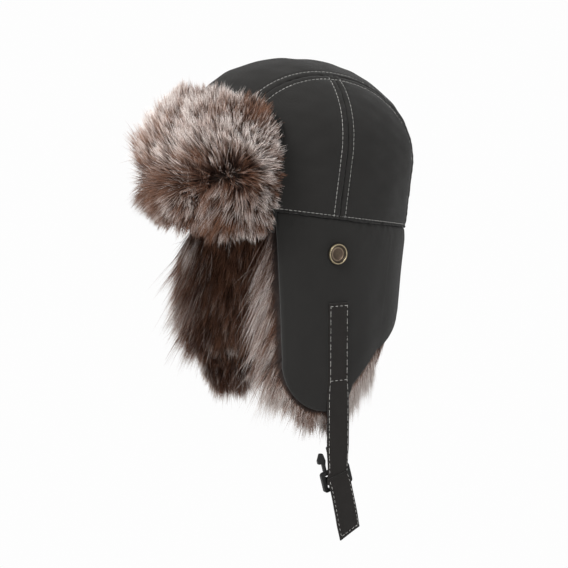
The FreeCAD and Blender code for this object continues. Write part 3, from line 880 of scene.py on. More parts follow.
def cloth_relief(points, free, snap=False):
    """Stand-off of a flap's cloth: padding, turned edge, soft waves and the pull of the snap."""
    relief = -1.3 * (1 - np.clip(free / 2.4, 0, 1)) ** 2
    relief = relief + 0.9 * smooth(free / 14) * smooth(-points[..., 2] / 12)
    waves = soft_noise(points * [0.6, 1, 0.45], 44, 31) * 0.42
    waves = waves + soft_noise(points * [0.6, 1, 0.6], 18, 32) * 0.08
    relief = relief + waves * smooth(-points[..., 2] / 18)
    pucker = soft_noise(points * [1, 1, 0.35], 8, 33) * 0.20 * np.exp(points[..., 2] / 6)
    relief = relief + pucker - 1.6 * np.exp(points[..., 2] / 1.2)
    if snap:
        away = np.hypot(points[..., 1] - SNAP_Y, points[..., 2] - SNAP_Z)
        relief = relief - 1.3 * np.exp(-(away / 11) ** 2)
    return relief


def ear_blend(side_name, side):
    """The crown and flap bodies, and the two ends of the fold between them, for a flap's pieces."""
    start = leaned([side * WIDE, 0, 1.0]) * MM
    end = leaned([side * WIDE, 0, -24.0]) * MM
    return "crown", side_name + "_ear", list(start), list(end)


def ear_pieces(side_name, side):
    """The flap's outer cloth and its wadding."""
    blend = ear_blend(side_name, side)
    place = ear_grid(190, 130)
    points, normals = skirt_points(place, 0, side)
    free = edge_distance(place, EAR_FREE_EDGE)
    outer = points + normals * cloth_relief(points, free, True)[..., None]
    hem = CLOTH + 2.6 * smooth(1 - free / 5)
    cloth = sheet(side_name + "_ear_outer_cloth", outer, normals, hem, CHARCOAL, 0.7)
    dress(cloth, [side_name + "_ear_cloth"], blend=blend)
    place = ear_grid(70, 50, 2.5)
    points, normals = skirt_points(place, CLOTH + 0.6, side)
    padding = sheet(side_name + "_ear_padding", points, normals, 2.4, FLEECE)
    dress(padding, [side_name + "_ear_wadding"], blend=blend)


def wing_blend(part, side_name, side):
    """The middle and wing bodies of the visor or neck guard, and two points about the wing's hinge, along the
    line between both hinges.
    """
    names = (part + "_left_flex", part + "_right_flex")
    joint, other = names if side > 0 else names[::-1]
    place = joint_place(joint)
    towards = unit(place - joint_place(other))
    start = (place - towards * FLEX_SPREAD) * MM
    end = (place + towards * FLEX_SPREAD) * MM
    return f"{part}_middle", f"{part}_{side_name}_wing", list(start), list(end)


def dress_wing(piece, part, layer, side_name, side):
    """Half a layer of the visor or neck guard: it stands for that layer of the middle and of one wing."""
    replaced = (f"{part}_{side_name}_wing_{layer}", f"{part}_middle_{layer}")
    dress(piece, replaced, blend=wing_blend(part, side_name, side))


def level(points, place):
    """No relief."""
    return np.zeros(points.shape[:2])


def neck_halves(name, layer, place, depth, thickness, material, relief=level, rim=0.4):
    """The two halves of a neck guard layer; thickness and relief are functions of the place."""
    for side_name, side in SIDES:
        points, normals = neck_points(place * [side, 1], depth)
        outer = points + normals * relief(points, place)[..., None]
        piece = sheet(f"{side_name}_{name}", outer, normals, thickness(place), material, rim)
        dress_wing(piece, "neck", layer, side_name, side)


def neck_grid(rows, columns, inset=0.0):
    """Places filling half of the neck guard."""
    across = np.linspace(0, 1 - inset / (NECK_TURN * ROUND), columns)
    low = neck_low(across * NECK_TURN) + inset
    share = np.linspace(0, 1, rows)
    heights = -0.2 + (low[None] + 0.2) * share[:, None]
    return np.stack([across[None] * neck_turn(heights) * ROUND, heights], -1)


def neck_free(place):
    """Distance to the lower edge."""
    return place[..., 1] - neck_low(np.abs(place[..., 0]) / ROUND)


def neck_rim(place):
    """Distance to the lower edge or to the slit, whichever is nearer."""
    slit = (neck_turn(place[..., 1]) - np.abs(place[..., 0]) / ROUND) * ROUND
    return np.minimum(neck_free(place), slit)


def neck_hem(place):
    """Thickness of the neck guard's cloth, turned in at its edges."""
    return CLOTH + 2.6 * smooth(1 - neck_rim(place) / 5)


def neck_relief(points, place):
    """Stand-off of the neck guard's cloth."""
    return cloth_relief(points, neck_free(place))


def neck_cloth():
    """The neck guard's outer cloth and its wadding."""
    neck_halves("neck_outer_cloth", "cloth", neck_grid(110, 90), 0, neck_hem, CHARCOAL, neck_relief, 0.7)
    neck_halves("neck_padding", "wadding", neck_grid(50, 50, 4.0), CLOTH + 0.6, lambda place: 2.4, FLEECE)


# ---------------------------------------------------------------- visor: backing


def visor_edge(turn):
    """Top height of the visor at an angle from the front: a level top with rounded rear corners."""
    heights = np.linspace(VISOR_TOP, VISOR_LOW, 160)
    top = np.full_like(turn, VISOR_LOW)
    for height in heights[::-1]:
        y = -(LONG + VISOR_CLOTH) * shrink_at(np.array(height), VISOR_CLOTH) * np.cos(turn)
        drop = max(0.0, height - (VISOR_TOP - VISOR_CORNER))
        rear = VISOR_REAR - (VISOR_CORNER - math.sqrt(max(0.0, VISOR_CORNER ** 2 - drop ** 2)))
        top = np.where(y <= rear, height, top)
    return top


def visor_grid(rows, columns, inset=0.0):
    """Places filling half of the visor."""
    turn = np.linspace(0, VISOR_TURN - inset / ROUND, columns)
    fine = np.linspace(0, VISOR_TURN, 400)
    edge = visor_edge(fine)
    kernel = np.ones(9) / 9
    edge = np.convolve(np.pad(edge, 4, mode="edge"), kernel, mode="valid")
    top = np.maximum(np.interp(turn, fine, edge), VISOR_LOW + 30) - inset
    share = np.linspace(0, 1, rows)
    heights = VISOR_LOW + (top[None] - VISOR_LOW) * share[:, None]
    return np.stack([np.broadcast_to(turn[None] * ROUND, heights.shape), heights], -1)


def visor_rim(grid):
    """Distance to the nearest border of the visor."""
    turn = grid[..., 0] / ROUND
    top = visor_edge(np.linspace(0, VISOR_TURN, 200))
    above = np.interp(turn, np.linspace(0, VISOR_TURN, 200), top) - grid[..., 1]
    behind = (VISOR_TURN - turn) * ROUND
    return np.minimum(np.minimum(above, behind), grid[..., 1] - VISOR_LOW)


def visor_halves(name, layer, grid, offset, thickness, material, grain, rim=0.4, swell=0.0):
    """The two halves of a visor layer; its outer face can swell, or sink, towards the border."""
    swelling = swell * smooth(1 - visor_rim(grid) / (6 if swell > 0 else 16))
    for side_name, side in SIDES:
        points, normals = visor_points(grid * [side, 1], offset)
        outer = points + normals * (soft_noise(points, grain, 41) * 0.35 + swelling)[..., None]
        piece = sheet(f"{side_name}_{name}", outer, normals, thickness + swelling, material, rim)
        dress_wing(piece, "visor", layer, side_name, side)


def visor_backing():
    """The visor's cloth, wadding and undercoat, from the crown outwards."""
    lump = 7.0
    coat = VISOR_SKIN + lump
    cloth, padding, skin = visor_grid(80, 70), visor_grid(50, 50, 4.5), visor_grid(90, 80, 3.0)
    visor_halves("visor_backing_cloth", "cloth", cloth, VISOR_CLOTH, CLOTH, CHARCOAL, 30, swell=2.8)
    visor_halves("visor_padding", "wadding", padding, VISOR_SKIN, 3.0, FLEECE, 25)
    visor_halves("visor_undercoat", "fur", skin, coat, lump, UNDERCOAT, 9, 1.0, -5.0)


def brow_strip(name, first, last):
    """Part of the cloth band under the visor, between two angles from the front."""
    turn = np.linspace(first, last, 60)
    heights = np.linspace(0.3, VISOR_LOW, 24)
    x = WIDE * np.sin(turn)[None] * np.ones(24)[:, None]
    y = -LONG * np.cos(turn)[None] * np.ones(24)[:, None]
    points = np.stack([x, y, np.broadcast_to(heights[:, None], x.shape)], -1)
    normals = crown_normals(points)
    tuck = smooth((VISOR_LOW + 8 - points[..., 2]) / 8) * (VISOR_CLOTH - 1.5)
    outer = points + normals * (tuck + 0.3 * soft_noise(points, 12, 51))[..., None]
    piece = sheet(name, outer, normals, 2.2, CHARCOAL)
    dress(piece, ["brow_band"])
    return piece


def brow_band():
    """The band's ends stay on the crown; its middle is baked in place and follows no body."""
    hinged = math.asin((joint_place("visor_left_flex")[0] - FLEX_SPREAD / 2) / WIDE)
    end = VISOR_TURN + 0.02
    for name, first, last in (("left_brow_band", hinged, end), ("right_brow_band", -end, -hinged)):
        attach(brow_strip(name, first, last), "crown")
    middle = brow_strip("middle_brow_band", -hinged, hinged)
    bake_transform(middle)


# ---------------------------------------------------------------- fur

RINGS = np.array([0.0, 0.38, 0.74])
SHARES = np.append(RINGS, 1.0)
TAPER = np.array([0.85, 1.0, 0.62])


class Pelt:
    """Clumped fur grown on a surface; every field is a function of the plane place."""

    def __init__(self, surface, flow, lift, length, frost, droop=0.10, bend=0.38):
        """Droop is how far a strand hangs and bend how far it lies over, as shares of its length."""
        self.surface = surface
        self.droop = droop
        self.bend = bend
        self.flow = flow
        self.lift = lift
        self.length = length
        self.frost = frost

    def paths(self, place, tilt, scale, curl, phase):
        """Points at the strand shares for roots at the given places: (strand, share, xyz)."""
        points, normals = self.surface(place)
        flow = self.flow(place) + tilt
        ahead, _ = self.surface(place + unit(flow) * 0.5)
        run = unit(ahead - points)
        side = np.cross(normals, run)
        lift = self.lift(place)[:, None]
        length = (self.length(place) * scale)[:, None]
        paths = []
        for share in SHARES:
            rise = np.sin(lift) * (share - self.bend * share ** 2)
            reach = np.cos(lift) * share + np.sin(lift) * 0.30 * share ** 2
            bow = np.sin(phase + share * 3.2)[:, None] * curl[:, None] * share
            droop = np.array([0, 0, -self.droop]) * share ** 2
            paths.append(points + length * (run * reach + normals * rise + droop) + side * bow)
        return np.stack(paths, 1), normals, side

    def strands(self, clumps, per_clump, spread, gather, seed, keep, radius, wild=0.06, least=0.62):
        """Paths, ring directions, frost and radius of strands in clumps; keep(place) picks the roots."""
        rng = np.random.default_rng(seed)
        count = len(clumps)
        clump_tilt = rng.normal(0, 0.16, (count, 2))
        clump_scale = rng.uniform(0.82, 1.12, count)
        clump_curl = rng.normal(0, 1.8, count)
        clump_phase = rng.uniform(0, 2 * math.pi, count)
        clump_path, _, _ = self.paths(clumps, clump_tilt, clump_scale, clump_curl, clump_phase)
        owner = np.repeat(np.arange(count), per_clump)
        place = clumps[owner] + rng.normal(0, spread, (len(owner), 2))
        kept = keep(place)
        owner, place = owner[kept], place[kept]
        total = len(owner)
        scale = clump_scale[owner] * rng.uniform(least, 1.06, total)
        wildness = rng.random(total) < wild
        scale = np.where(wildness, scale * rng.uniform(1.0, 1.15, total), scale)
        tilt = clump_tilt[owner] + rng.normal(0, 0.10, (total, 2))
        tilt = tilt + wildness[:, None] * rng.normal(0, 0.35, (total, 2))
        curl = clump_curl[owner] * 0.7 + rng.normal(0, 1.0, total)
        phase = clump_phase[owner] + rng.normal(0, 0.5, total)
        path, _, side = self.paths(place, tilt, scale, curl, phase)
        pull = gather * rng.uniform(0.5, 1.0, total) * ~wildness
        share = smooth(SHARES)[None, :, None] * pull[:, None, None]
        goal = clump_path[owner]
        start = goal[:, :1]
        shrunk = start + (goal - start) * (scale / clump_scale[owner])[:, None, None]
        path = path + share * (shrunk - path)
        frost = self.frost(place) + rng.normal(0, 0.17, count)[owner] + rng.normal(0, 0.14, total)
        thickness = radius * rng.uniform(0.75, 1.2, total)
        return path, side, np.clip(frost, 0.03, 0.97), thickness


def strand_mesh(name, path, side, frost, thickness):
    """Closed three-sided tapered strands; the map is (frost, root to tip)."""
    total = len(path)
    along = unit(path[:, -1] - path[:, 0])
    other = np.cross(along, side)
    turn = np.arange(3) * 2 * math.pi / 3
    ring = side[:, None] * np.cos(turn)[None, :, None] + other[:, None] * np.sin(turn)[None, :, None]
    size = thickness[:, None] * TAPER[None]
    rings = path[:, :3, None] + ring[:, None] * size[:, :, None, None]
    points = np.concatenate([rings.reshape(total, 9, 3), path[:, 3:]], 1)
    base = np.arange(9).reshape(3, 3)
    shifted = np.roll(base, -1, axis=1)
    walls = np.stack([base[:-1], shifted[:-1], shifted[1:], base[1:]], -1).reshape(-1, 4)
    tips = np.stack([base[2], shifted[2], np.full(3, 9)], -1)
    root = base[0][::-1][None]
    offsets = (np.arange(total) * 10)[:, None, None]
    quads = (walls[None] + offsets).reshape(-1, 4)
    triangles = (np.concatenate([tips, root])[None] + offsets).reshape(-1, 3)
    across = np.tile(np.append(np.tile([-0.01, 0.01, 0.0], 3), 0.0), (total, 1)) + frost[:, None]
    up = np.tile(np.append(np.repeat(RINGS, 3), 1.0), (total, 1))
    up = up + np.tile(np.append(np.tile([0, 0, 0.01], 3), 0), (total, 1))
    uv = np.stack([np.clip(across, 0, 1), np.clip(up, 0, 1)], -1).reshape(-1, 2)
    return new_mesh(name, leaned(points.reshape(-1, 3)), [quads, triangles], FUR, uv)


def scattered(low, high, spacing, seed, inside):
    """Jittered grid of places inside a region."""
    rng = np.random.default_rng(seed)
    first = np.arange(low[0], high[0], spacing)
    second = np.arange(low[1], high[1], spacing)
    grid = np.stack(np.meshgrid(first, second, indexing="ij"), -1).reshape(-1, 2)
    grid = grid + rng.uniform(-0.5, 0.5, grid.shape) * spacing
    return grid[inside(grid)]


CORE_HEIGHT = 20.5
CORE_REACH = 62.0
# Frost added to the visor in soft patches: across, height, size, amount, and whether it is on both sides.
VISOR_PATCHES = [
    (78, 69, 13, -0.60, True),
    (25, -3, 34, -0.35, False),
    (64, 0, 11, -0.40, True),
    (-28, 12, 26, -0.40, False),
    (68, 24, 9, -0.45, True),
    (60, 52, 22, 0.15, True),
]


def visor_core(place):
    """Nearest point of the parting: level across the brow, turning up a little at its ends."""
    across = np.clip(place[:, 0], -CORE_REACH, CORE_REACH)
    height = CORE_HEIGHT - 7 + 11 * smooth((np.abs(across) - 35) / (CORE_REACH - 35))
    return np.stack([across, height], 1)


def visor_flow(place):
    """Away from the parting: up above it, down below it, and rearwards beyond its ends."""
    away = place - visor_core(place)
    swirl = soft_noise(place, 45, 61)[:, None] * [4.0, 1.0]
    return unit(away + swirl)


def visor_away(place):
    """Distance from the parting."""
    return np.linalg.norm(place - visor_core(place), axis=1)


def visor_margin(place):
    """About the distance to the visor's top or rear edge, less in the corner between them."""
    turn = np.abs(place[:, 0]) / ROUND
    fine = np.linspace(0, VISOR_TURN, 300)
    top = np.interp(turn, fine, visor_edge(fine))
    above = np.maximum(top - place[:, 1], 0.01)
    behind = np.maximum((VISOR_TURN - turn) * ROUND, 0.01)
    return above * behind / (above + behind)


def visor_lift(place):
    """Standing at the parting, lying down away from it, most of all towards the lower edge."""
    lift = 80 - 28 * smooth(visor_away(place) / 55) - 24 * visor_low(place)
    lift = lift + 4 * soft_noise(place, 34, 62)
    return np.radians(lift + 4 * smooth(1 - visor_margin(place) / 20))


def visor_low(place):
    """How near a place is to the lower edge, from 0 to 1."""
    return smooth((VISOR_LOW + 28 - place[:, 1]) / 26)


def visor_length(place):
    """Longest over the brow and the temples, short at the edges and tucked in below."""
    edge = smooth(1 - visor_margin(place) / 26)
    crest = np.exp(-((place[:, 1] - CORE_HEIGHT - 8) / 23) ** 2)
    temples = smooth((np.abs(place[:, 0]) - 14) / 24) * smooth((92 - np.abs(place[:, 0])) / 24)
    length = 27 + (11 + 8 * temples) * crest + 1.5 * soft_noise(place, 30, 63)
    tucked = 9 + 7 * smooth((25 - place[:, 0]) / 50)
    return length - 10 * edge * (1 + crest) - tucked * visor_low(place)


def visor_frost(place):
    """Pale, with darker patches."""
    total = np.zeros(len(place))
    for across, height, size, amount, mirrored in VISOR_PATCHES:
        sideways = np.abs(place[:, 0]) if mirrored else place[:, 0]
        away = np.hypot(sideways - across, place[:, 1] - height)
        total = total + amount * np.exp(-(away / size) ** 2)
    return 0.62 + 0.20 * soft_noise(place, 26, 64) + total


def inside_visor(place):
    """Whether fur grows here, a little inside the visor's border."""
    turn = np.abs(place[:, 0]) / ROUND
    bare = 2.6 + 3.6 * smooth((place[:, 1] - 35) / 30)
    return (turn < VISOR_TURN) & (place[:, 1] > VISOR_LOW + 1) & (visor_margin(place) > bare)


def strands_each(wanted, clumps):
    """Strands in each clump for a wanted total."""
    return max(2, int(FUR_SHARE * wanted / len(clumps)))


def fur_pieces(name, strands, replaced, blend):
    """The strands as one or more pieces, each small enough to keep whole."""
    count = len(strands[0])
    parts = math.ceil(count / STRANDS_PER_PIECE)
    for part in range(parts):
        chosen = slice(part * count // parts, (part + 1) * count // parts)
        piece = strand_mesh(f"{name}_{part + 1}", *(values[chosen] for values in strands))
        dress(piece, replaced, blend=blend)


def wing_fur(pelt, part, extent, inside, spacing, wanted, look, seeds):
    """Fur on both halves of the visor or neck guard; look is (spread, gather, radius) of its clumps."""
    spread, gather, radius = look
    reach, bottom, top = extent
    for side_name, side in SIDES:
        low = 0 if side > 0 else -reach

        def half(place):
            """The region on this side of the middle."""
            return inside(place) & (place[:, 0] * side >= 0)

        clumps = scattered((low, bottom), (low + reach, top), spacing, seeds[0] + side, half)
        per_clump = strands_each(wanted, clumps)
        strands = pelt.strands(clumps, per_clump, spread, gather, seeds[1] + side, inside, radius)
        replaced = (f"{part}_{side_name}_wing_fur", f"{part}_middle_fur")
        fur_pieces(f"{side_name}_{part}_fur", strands, replaced, wing_blend(part, side_name, side))


def visor_fur():
    """The visor's long fur."""
    pelt = Pelt(
        lambda place: visor_points(place, VISOR_SKIN),
        visor_flow,
        visor_lift,
        visor_length,
        visor_frost,
        droop=0.06,
        bend=0.22,
    )
    extent = (VISOR_TURN * ROUND, VISOR_LOW, VISOR_TOP)
    wing_fur(pelt, "visor", extent, inside_visor, 3.6, VISOR_STRANDS, (2.1, 0.66, 0.21), (70, 80))


def inside_ear(place):
    """Whether fur grows here, a little inside the flap's outline."""
    front = np.interp(-place[:, 1], -EAR_FRONT_LINE[:, 1], EAR_FRONT_LINE[:, 0])
    rear = np.interp(-place[:, 1], -EAR_REAR_LINE[:, 1], EAR_REAR_LINE[:, 0])
    within = (place[:, 0] > front + 1.0) & (place[:, 0] < rear - 1.0)
    return within & (place[:, 1] < -6) & (place[:, 1] > EAR_TIP[1] + 1)


# How each flap's pile lies. By the front edge: sweep forward, lift in degrees, extra length, and how much
# more of it near the brow. At the tip: where it begins, further lift, shortening, and the share of that the front
# corner keeps. Everywhere: paleness, lowered on the right flap as painted shade, frost of the edge, hang, and the
# shortest fringe strand as a share.
EAR_LIE = {
    "left": dict(
        sweep=0.30, sweep_low=-8, lift=62, extra=22, upper=12,
        tip_from=97, tip_lift=-20, shortening=15, corner=0.0,
        paleness_and_painted_shade=0.06, edge=0.40, hang=0.60, least=0.36,
    ),
    "right": dict(
        sweep=1.55, sweep_low=14, lift=20, extra=20, upper=14,
        tip_from=84, tip_lift=24, shortening=17, corner=1.0,
        # The lower paleness on this flap is painted shade: its inside stands in shade.
        paleness_and_painted_shade=-0.20, edge=0.28, hang=0.36, least=0.60,
    ),
}


def ear_edges(place):
    """How near a place is to the front edge and to the rear edge of the flap, 1 at the edge."""
    front = np.exp(-edge_distance(place, EAR_FRONT_LINE) / 12)
    rear = np.exp(-edge_distance(place, EAR_REAR_LINE) / 12)
    return front, rear


def ear_tip(place, lie):
    """How near the tip a place is, 1 at the very tip."""
    return smooth((-place[:, 1] - lie["tip_from"]) / 50)


def ear_flow(place, lie):
    """Down, and forward near the front edge, backward near the rear edge."""
    front, rear = ear_edges(place)
    above_tip = smooth((place[:, 1] - EAR_TIP[1] + lie["sweep_low"]) / 45)
    sideways = -lie["sweep"] * np.sqrt(front) * above_tip
    sideways = sideways + 0.75 * rear + 0.10 * soft_noise(place, 40, 91)
    return unit(np.stack([sideways, np.full(len(place), -1.0)], 1))


def ear_lift(place, lie):
    """Standing up in the middle, laid down by the rear edge."""
    front, rear = ear_edges(place)
    tip = ear_tip(place, lie)
    lift = 58 + (lie["lift"] - 58) * front * (1 - tip) - 40 * rear * (1 - front) * (1 - tip)
    fold = smooth((place[:, 1] + 24) / 18)
    return np.radians(np.maximum(lift + lie["tip_lift"] * tip + 16 * fold, 14))


def ear_length(place, lie):
    """Longest along the front edge, shorter round the tip."""
    front, rear = ear_edges(place)
    tip = ear_tip(place, lie)
    upper = smooth((place[:, 1] + 85) / 40)
    slant = rear * (1 - front) * smooth((-place[:, 1] - 70) / 30)
    length = 32 + lie["extra"] * front * (1 - tip) + lie["upper"] * front * upper
    shorter = lie["shortening"] * tip * (1 - slant) * (1 - lie["corner"] * front)
    return length - shorter + 2 * soft_noise(place, 30, 92)


def ear_free(place):
    """Distance to the flap's free edge."""
    return edge_distance(place, EAR_FREE_EDGE)


def ear_frost(place, lie):
    """Brown in the middle and darkest above, where painted shade darkens it, with pale and rust streaks along the
    free edge.
    """
    edge = np.exp(-ear_free(place) / 12)
    streaks = soft_noise(place * [1, 0.3], 7, 95)
    # Painted shade: the pile is darkened towards the band at its top, where the crown shades it.
    shade = 0.22 * smooth((place[:, 1] + 62) / 50) * (1 - edge)
    middle = 0.32 + lie["paleness_and_painted_shade"] - shade + 0.16 * soft_noise(place, 26, 93)
    return middle + (lie["edge"] + 0.40 * streaks) * edge


def ear_fur(side_name, side):
    """The pile inside the flap and the thicker fringe that spills past its edge."""
    lie = EAR_LIE[side_name]

    def surface(place):
        """The flap's inner face, with its normals towards the head."""
        points, normals = skirt_points(place, SKIRT_SKIN, side)
        return points, -normals

    pelt = Pelt(
        surface,
        lambda place: ear_flow(place, lie),
        lambda place: ear_lift(place, lie),
        lambda place: ear_length(place, lie),
        lambda place: ear_frost(place, lie),
        droop=lie["hang"],
        bend=0.46,
    )
    blend = ear_blend(side_name, side)
    replaced = [side_name + "_ear_fur"]
    low, high = (EAR_FRONT[0][0], EAR_TIP[1]), (EAR_REAR, -1)
    clumps = scattered(low, high, 4.6, 100 + side, inside_ear)
    per_clump = strands_each(EAR_INNER_STRANDS, clumps)
    inner = pelt.strands(clumps, per_clump, 2.6, 0.62, 120 + side, inside_ear, 0.25)
    clumps = scattered(low, high, 2.8, 110 + side, at_ear_edge)
    per_clump = strands_each(EAR_FRINGE_STRANDS, clumps)
    fringe = pelt.strands(clumps, per_clump, 1.6, 0.55, 130 + side, inside_ear, 0.21, 0.10, lie["least"])
    fur_pieces(side_name + "_ear_inner_fur", inner, replaced, blend)
    fur_pieces(side_name + "_ear_fringe", fringe, replaced, blend)


def ear_undercoat(side_name, side):
    """The lumpy skin that the flap's strands grow from."""
    points, normals = skirt_points(ear_grid(70, 50, 8), SKIRT_SKIN, side)
    points = points - normals * (soft_noise(points, 8, 94) * 0.8 + 4.5)[..., None]
    skin = sheet(side_name + "_ear_undercoat", points + normals * 4.5, normals, 6.0, UNDERCOAT, 1.5)
    dress(skin, [side_name + "_ear_fur"], blend=ear_blend(side_name, side))


def at_ear_edge(place):
    """The border of the flap, where the pelt is thickest and spills past the cloth."""
    return inside_ear(place) & (ear_free(place) < 8)


def inside_neck(place):
    """Whether fur grows here, a little inside the neck guard's border."""
    turn = np.abs(place[:, 0]) / ROUND
    return (turn < NECK_TURN - 0.01) & (place[:, 1] < -3) & (place[:, 1] > neck_low(turn) + 1)


def neck_lift(place):
    """Laid down at the lower edge, upright by the slit and by the fold."""
    standing = np.maximum(np.exp(-(neck_rim(place)) / 9), smooth((place[:, 1] + 20) / 16))
    low = np.exp(-neck_free(place) / 12)
    return np.radians(42 + 30 * standing * (1 - low) - 32 * low)


def neck_skin(place):
    """The neck guard's inner face, with its normals towards the head."""
    points, normals = neck_points(place, SKIRT_SKIN)
    return points, -normals


def neck_coat(place):
    """Thickness of the neck guard's undercoat, thin by its edges and its fold."""
    return 1.5 + 4.5 * smooth(neck_rim(place) / 14) * smooth((-place[..., 1] - 2) / 14)


def neck_fur():
    """The neck guard's fur and undercoat."""
    pelt = Pelt(
        neck_skin,
        lambda place: unit(np.stack([0.12 * soft_noise(place, 40, 141), np.full(len(place), -1.0)], 1)),
        neck_lift,
        lambda place: 25 + 12 * np.exp(-neck_free(place) / 14) + 2 * soft_noise(place, 30, 142),
        lambda place: 0.48 + 0.16 * soft_noise(place, 38, 143),
    )
    extent = (NECK_TURN * ROUND, NECK_EDGE[0][1], -3)
    wing_fur(pelt, "neck", extent, inside_neck, 5.0, NECK_STRANDS, (2.8, 0.62, 0.25), (150, 160))
    lumps = neck_grid(60, 50, 5)
    neck_halves("neck_undercoat", "fur", lumps, SKIRT_SKIN, neck_coat, UNDERCOAT,
                lambda points, place: 0.6 * soft_noise(points, 8, 144), 1.5)


# ---------------------------------------------------------------- snaps


def lathe(name, profile, centre, side, material):
    """A turned part on an axis across the hat; its profile is (radius, height outwards), centre to back."""
    turns = 72
    angle = np.linspace(0, 2 * math.pi, turns, endpoint=False)
    radius, height = profile[:, 0], profile[:, 1]
    y = radius[:, None] * np.cos(angle)
    z = radius[:, None] * np.sin(angle)
    x = np.broadcast_to(height[:, None], y.shape)
    points = (np.stack([x, y, z], -1) + centre) * [side, 1, 1]
    rows = len(profile)
    index = np.arange(rows * turns).reshape(rows, turns)
    after = np.roll(index, -1, axis=1)
    quads = np.stack([index[:-1], after[:-1], after[1:], index[1:]], -1).reshape(-1, 4)
    flat = points.reshape(-1, 3)
    faces = capped(flat, quads, np.array([index[0][::-1], index[-1]]))
    spread = 0.15 + 0.3 * np.broadcast_to(np.cos(angle)[None], y.shape) + 0.35
    down = np.broadcast_to(np.linspace(0.0, 1, rows)[:, None], y.shape)
    uv = np.stack([spread, down], -1).reshape(-1, 2)
    return new_mesh(name, leaned(flat), faces, material, uv)


def smooth_profile(corners, steps):
    """A profile through corners, softened so that it has no sharp bend."""
    points = even_points(np.array(corners, float), steps)
    for _ in range(2):
        points[1:-1] = (points[:-2] + 2 * points[1:-1] + points[2:]) / 4
    return points


SNAP_CAP = [
    (0.05, 0.5), (2.5, 0.6), (4.6, 1.0), (5.2, 1.25), (5.8, 1.1), (6.5, 0.8), (7.0, 1.3), (7.4, 2.3),
    (7.9, 2.6), (8.4, 2.2), (8.6, 1.0), (8.4, -0.2), (7.0, -0.4), (2.0, -0.4),
]
SNAP_SOCKET = [
    (0.05, -1.1), (2.9, -1.1), (3.2, -0.9), (3.3, -3.2), (3.8, -3.5), (4.4, -3.1), (5.6, -2.6),
    (6.2, -1.9), (6.2, -0.4), (5.0, 0.0), (1.0, 0.0),
]


def snap(side_name, side):
    """The dished cap outside the flap and the socket on its inner face."""
    parts = (("cap", SNAP_CAP, 90, WIDE + 0.4), ("socket", SNAP_SOCKET, 70, WIDE - CLOTH - 3.3))
    for part, corners, steps, across in parts:
        centre = np.array([across, SNAP_Y, SNAP_Z])
        piece = lathe(f"{side_name}_snap_{part}", smooth_profile(corners, steps), centre, side, BRASS)
        dress(piece, [f"{side_name}_ear_snap_{part}"], body=side_name + "_ear")


# ---------------------------------------------------------------- strap and buckle


def ribbon(name, path, half_width, thickness, replaced, body=None, blend=None):
    """A flat strap swept along a path of (centres, width directions, outward directions)."""
    centres, widths, outwards = path
    corner = thickness * 0.42
    section = []
    for sign in (1, -1):
        for share in np.linspace(-1, 1, 15) * sign:
            section.append((share * (half_width - corner), sign * thickness / 2))
        section.append((sign * half_width, 0.0))
    section = np.array(section)
    edge = np.abs(section[:, 0]) - half_width + 1.2
    edge_roll = 0.25 * np.exp(-(edge / 0.9) ** 2) * np.sign(section[:, 1])
    across = widths[:, None] * section[None, :, :1]
    through = outwards[:, None] * (section[:, 1] + edge_roll)[None, :, None]
    points = centres[:, None] + across + through
    points = points + outwards[:, None] * (soft_noise(points, 14, 171) * 0.10)[..., None]
    flat = points.reshape(-1, 3)
    index = np.arange(len(flat)).reshape(points.shape[:2])
    after = np.roll(index, -1, axis=1)
    quads = np.stack([index[:-1], index[1:], after[1:], after[:-1]], -1).reshape(-1, 4)
    faces = capped(flat, quads, np.array([index[0], index[-1][::-1]]))
    piece = new_mesh(name, flat, faces, STRAP_CLOTH)
    piece.data.set_sharp_from_angle(angle=math.radians(55))
    dress(piece, replaced, body, blend)


def plumb_path(top, low, step=1.5):
    """Ribbon path straight down the strap's line."""
    heights = np.linspace(top, low, int((top - low) / step) + 2)
    centres = np.stack([np.full_like(heights, STRAP_MID), np.full_like(heights, STRAP_Y), heights], 1)
    widths = np.tile([0.0, 1.0, 0.0], (len(heights), 1)) * strap_spread(heights)[:, None]
    outwards = np.tile([1.0, 0.0, 0.0], (len(heights), 1))
    return centres, widths, outwards


def strap_spread(height):
    """The strap is drawn in a little by its sewing and lies wider where it hangs free."""
    free = smooth((STRAP_SEWN_LOW + 3 - height) / 12)
    threaded = smooth((BAR[2] + 26 - height) / 16)
    return 0.95 + 0.13 * free - 0.07 * threaded


def straight_stitches(start, end, normal):
    """Stitch data along a straight line without a cloth to lie on."""
    start, end, normal = (np.array(value, float) for value in (start, end, normal))
    length = np.linalg.norm(end - start)
    stitch, gap = 2.5, 1.0
    count = max(1, int((length + gap) / (stitch + gap)))
    along = (end - start) / length
    places = np.linspace(0, length - stitch, count)
    side = np.cross(along, normal)
    return [(start + along * p, start + along * (p + stitch), normal, side) for p in places]


def strap_rows(top, low, x_out):
    """Edge stitches down both sides of a plumb length of strap."""
    rows = []
    heights = np.linspace(top, low, int((top - low) / 7.0) + 2)
    for side in (-1, 1):
        y = STRAP_Y + side * (STRAP_WIDTH / 2 - STITCH_INSET) * strap_spread(heights)
        places = np.stack([np.full_like(y, x_out), y, heights], 1)
        for first, following in zip(places[:-1], places[1:]):
            rows += straight_stitches(first, following, (1, 0, 0))
    return rows


def strap_zone(height, spread):
    """Blend points above and below a bend of the hanging strap."""
    return [[STRAP_MID * MM, STRAP_Y * MM, (height + shift) * MM] for shift in (spread, -spread)]


def cross_stitches(height, face, reach, normal):
    """A row across the strap."""
    return straight_stitches((face, STRAP_Y - reach, height), (face, STRAP_Y + reach, height), normal)


STRAP_SPLIT = (STRAP_SEWN_LOW + STRAP_BEND) / 2
STRAP_FACE = STRAP_OUT + 0.12
STRAP_HALF = STRAP_WIDTH / 2
THREAD_RADIUS = 0.19


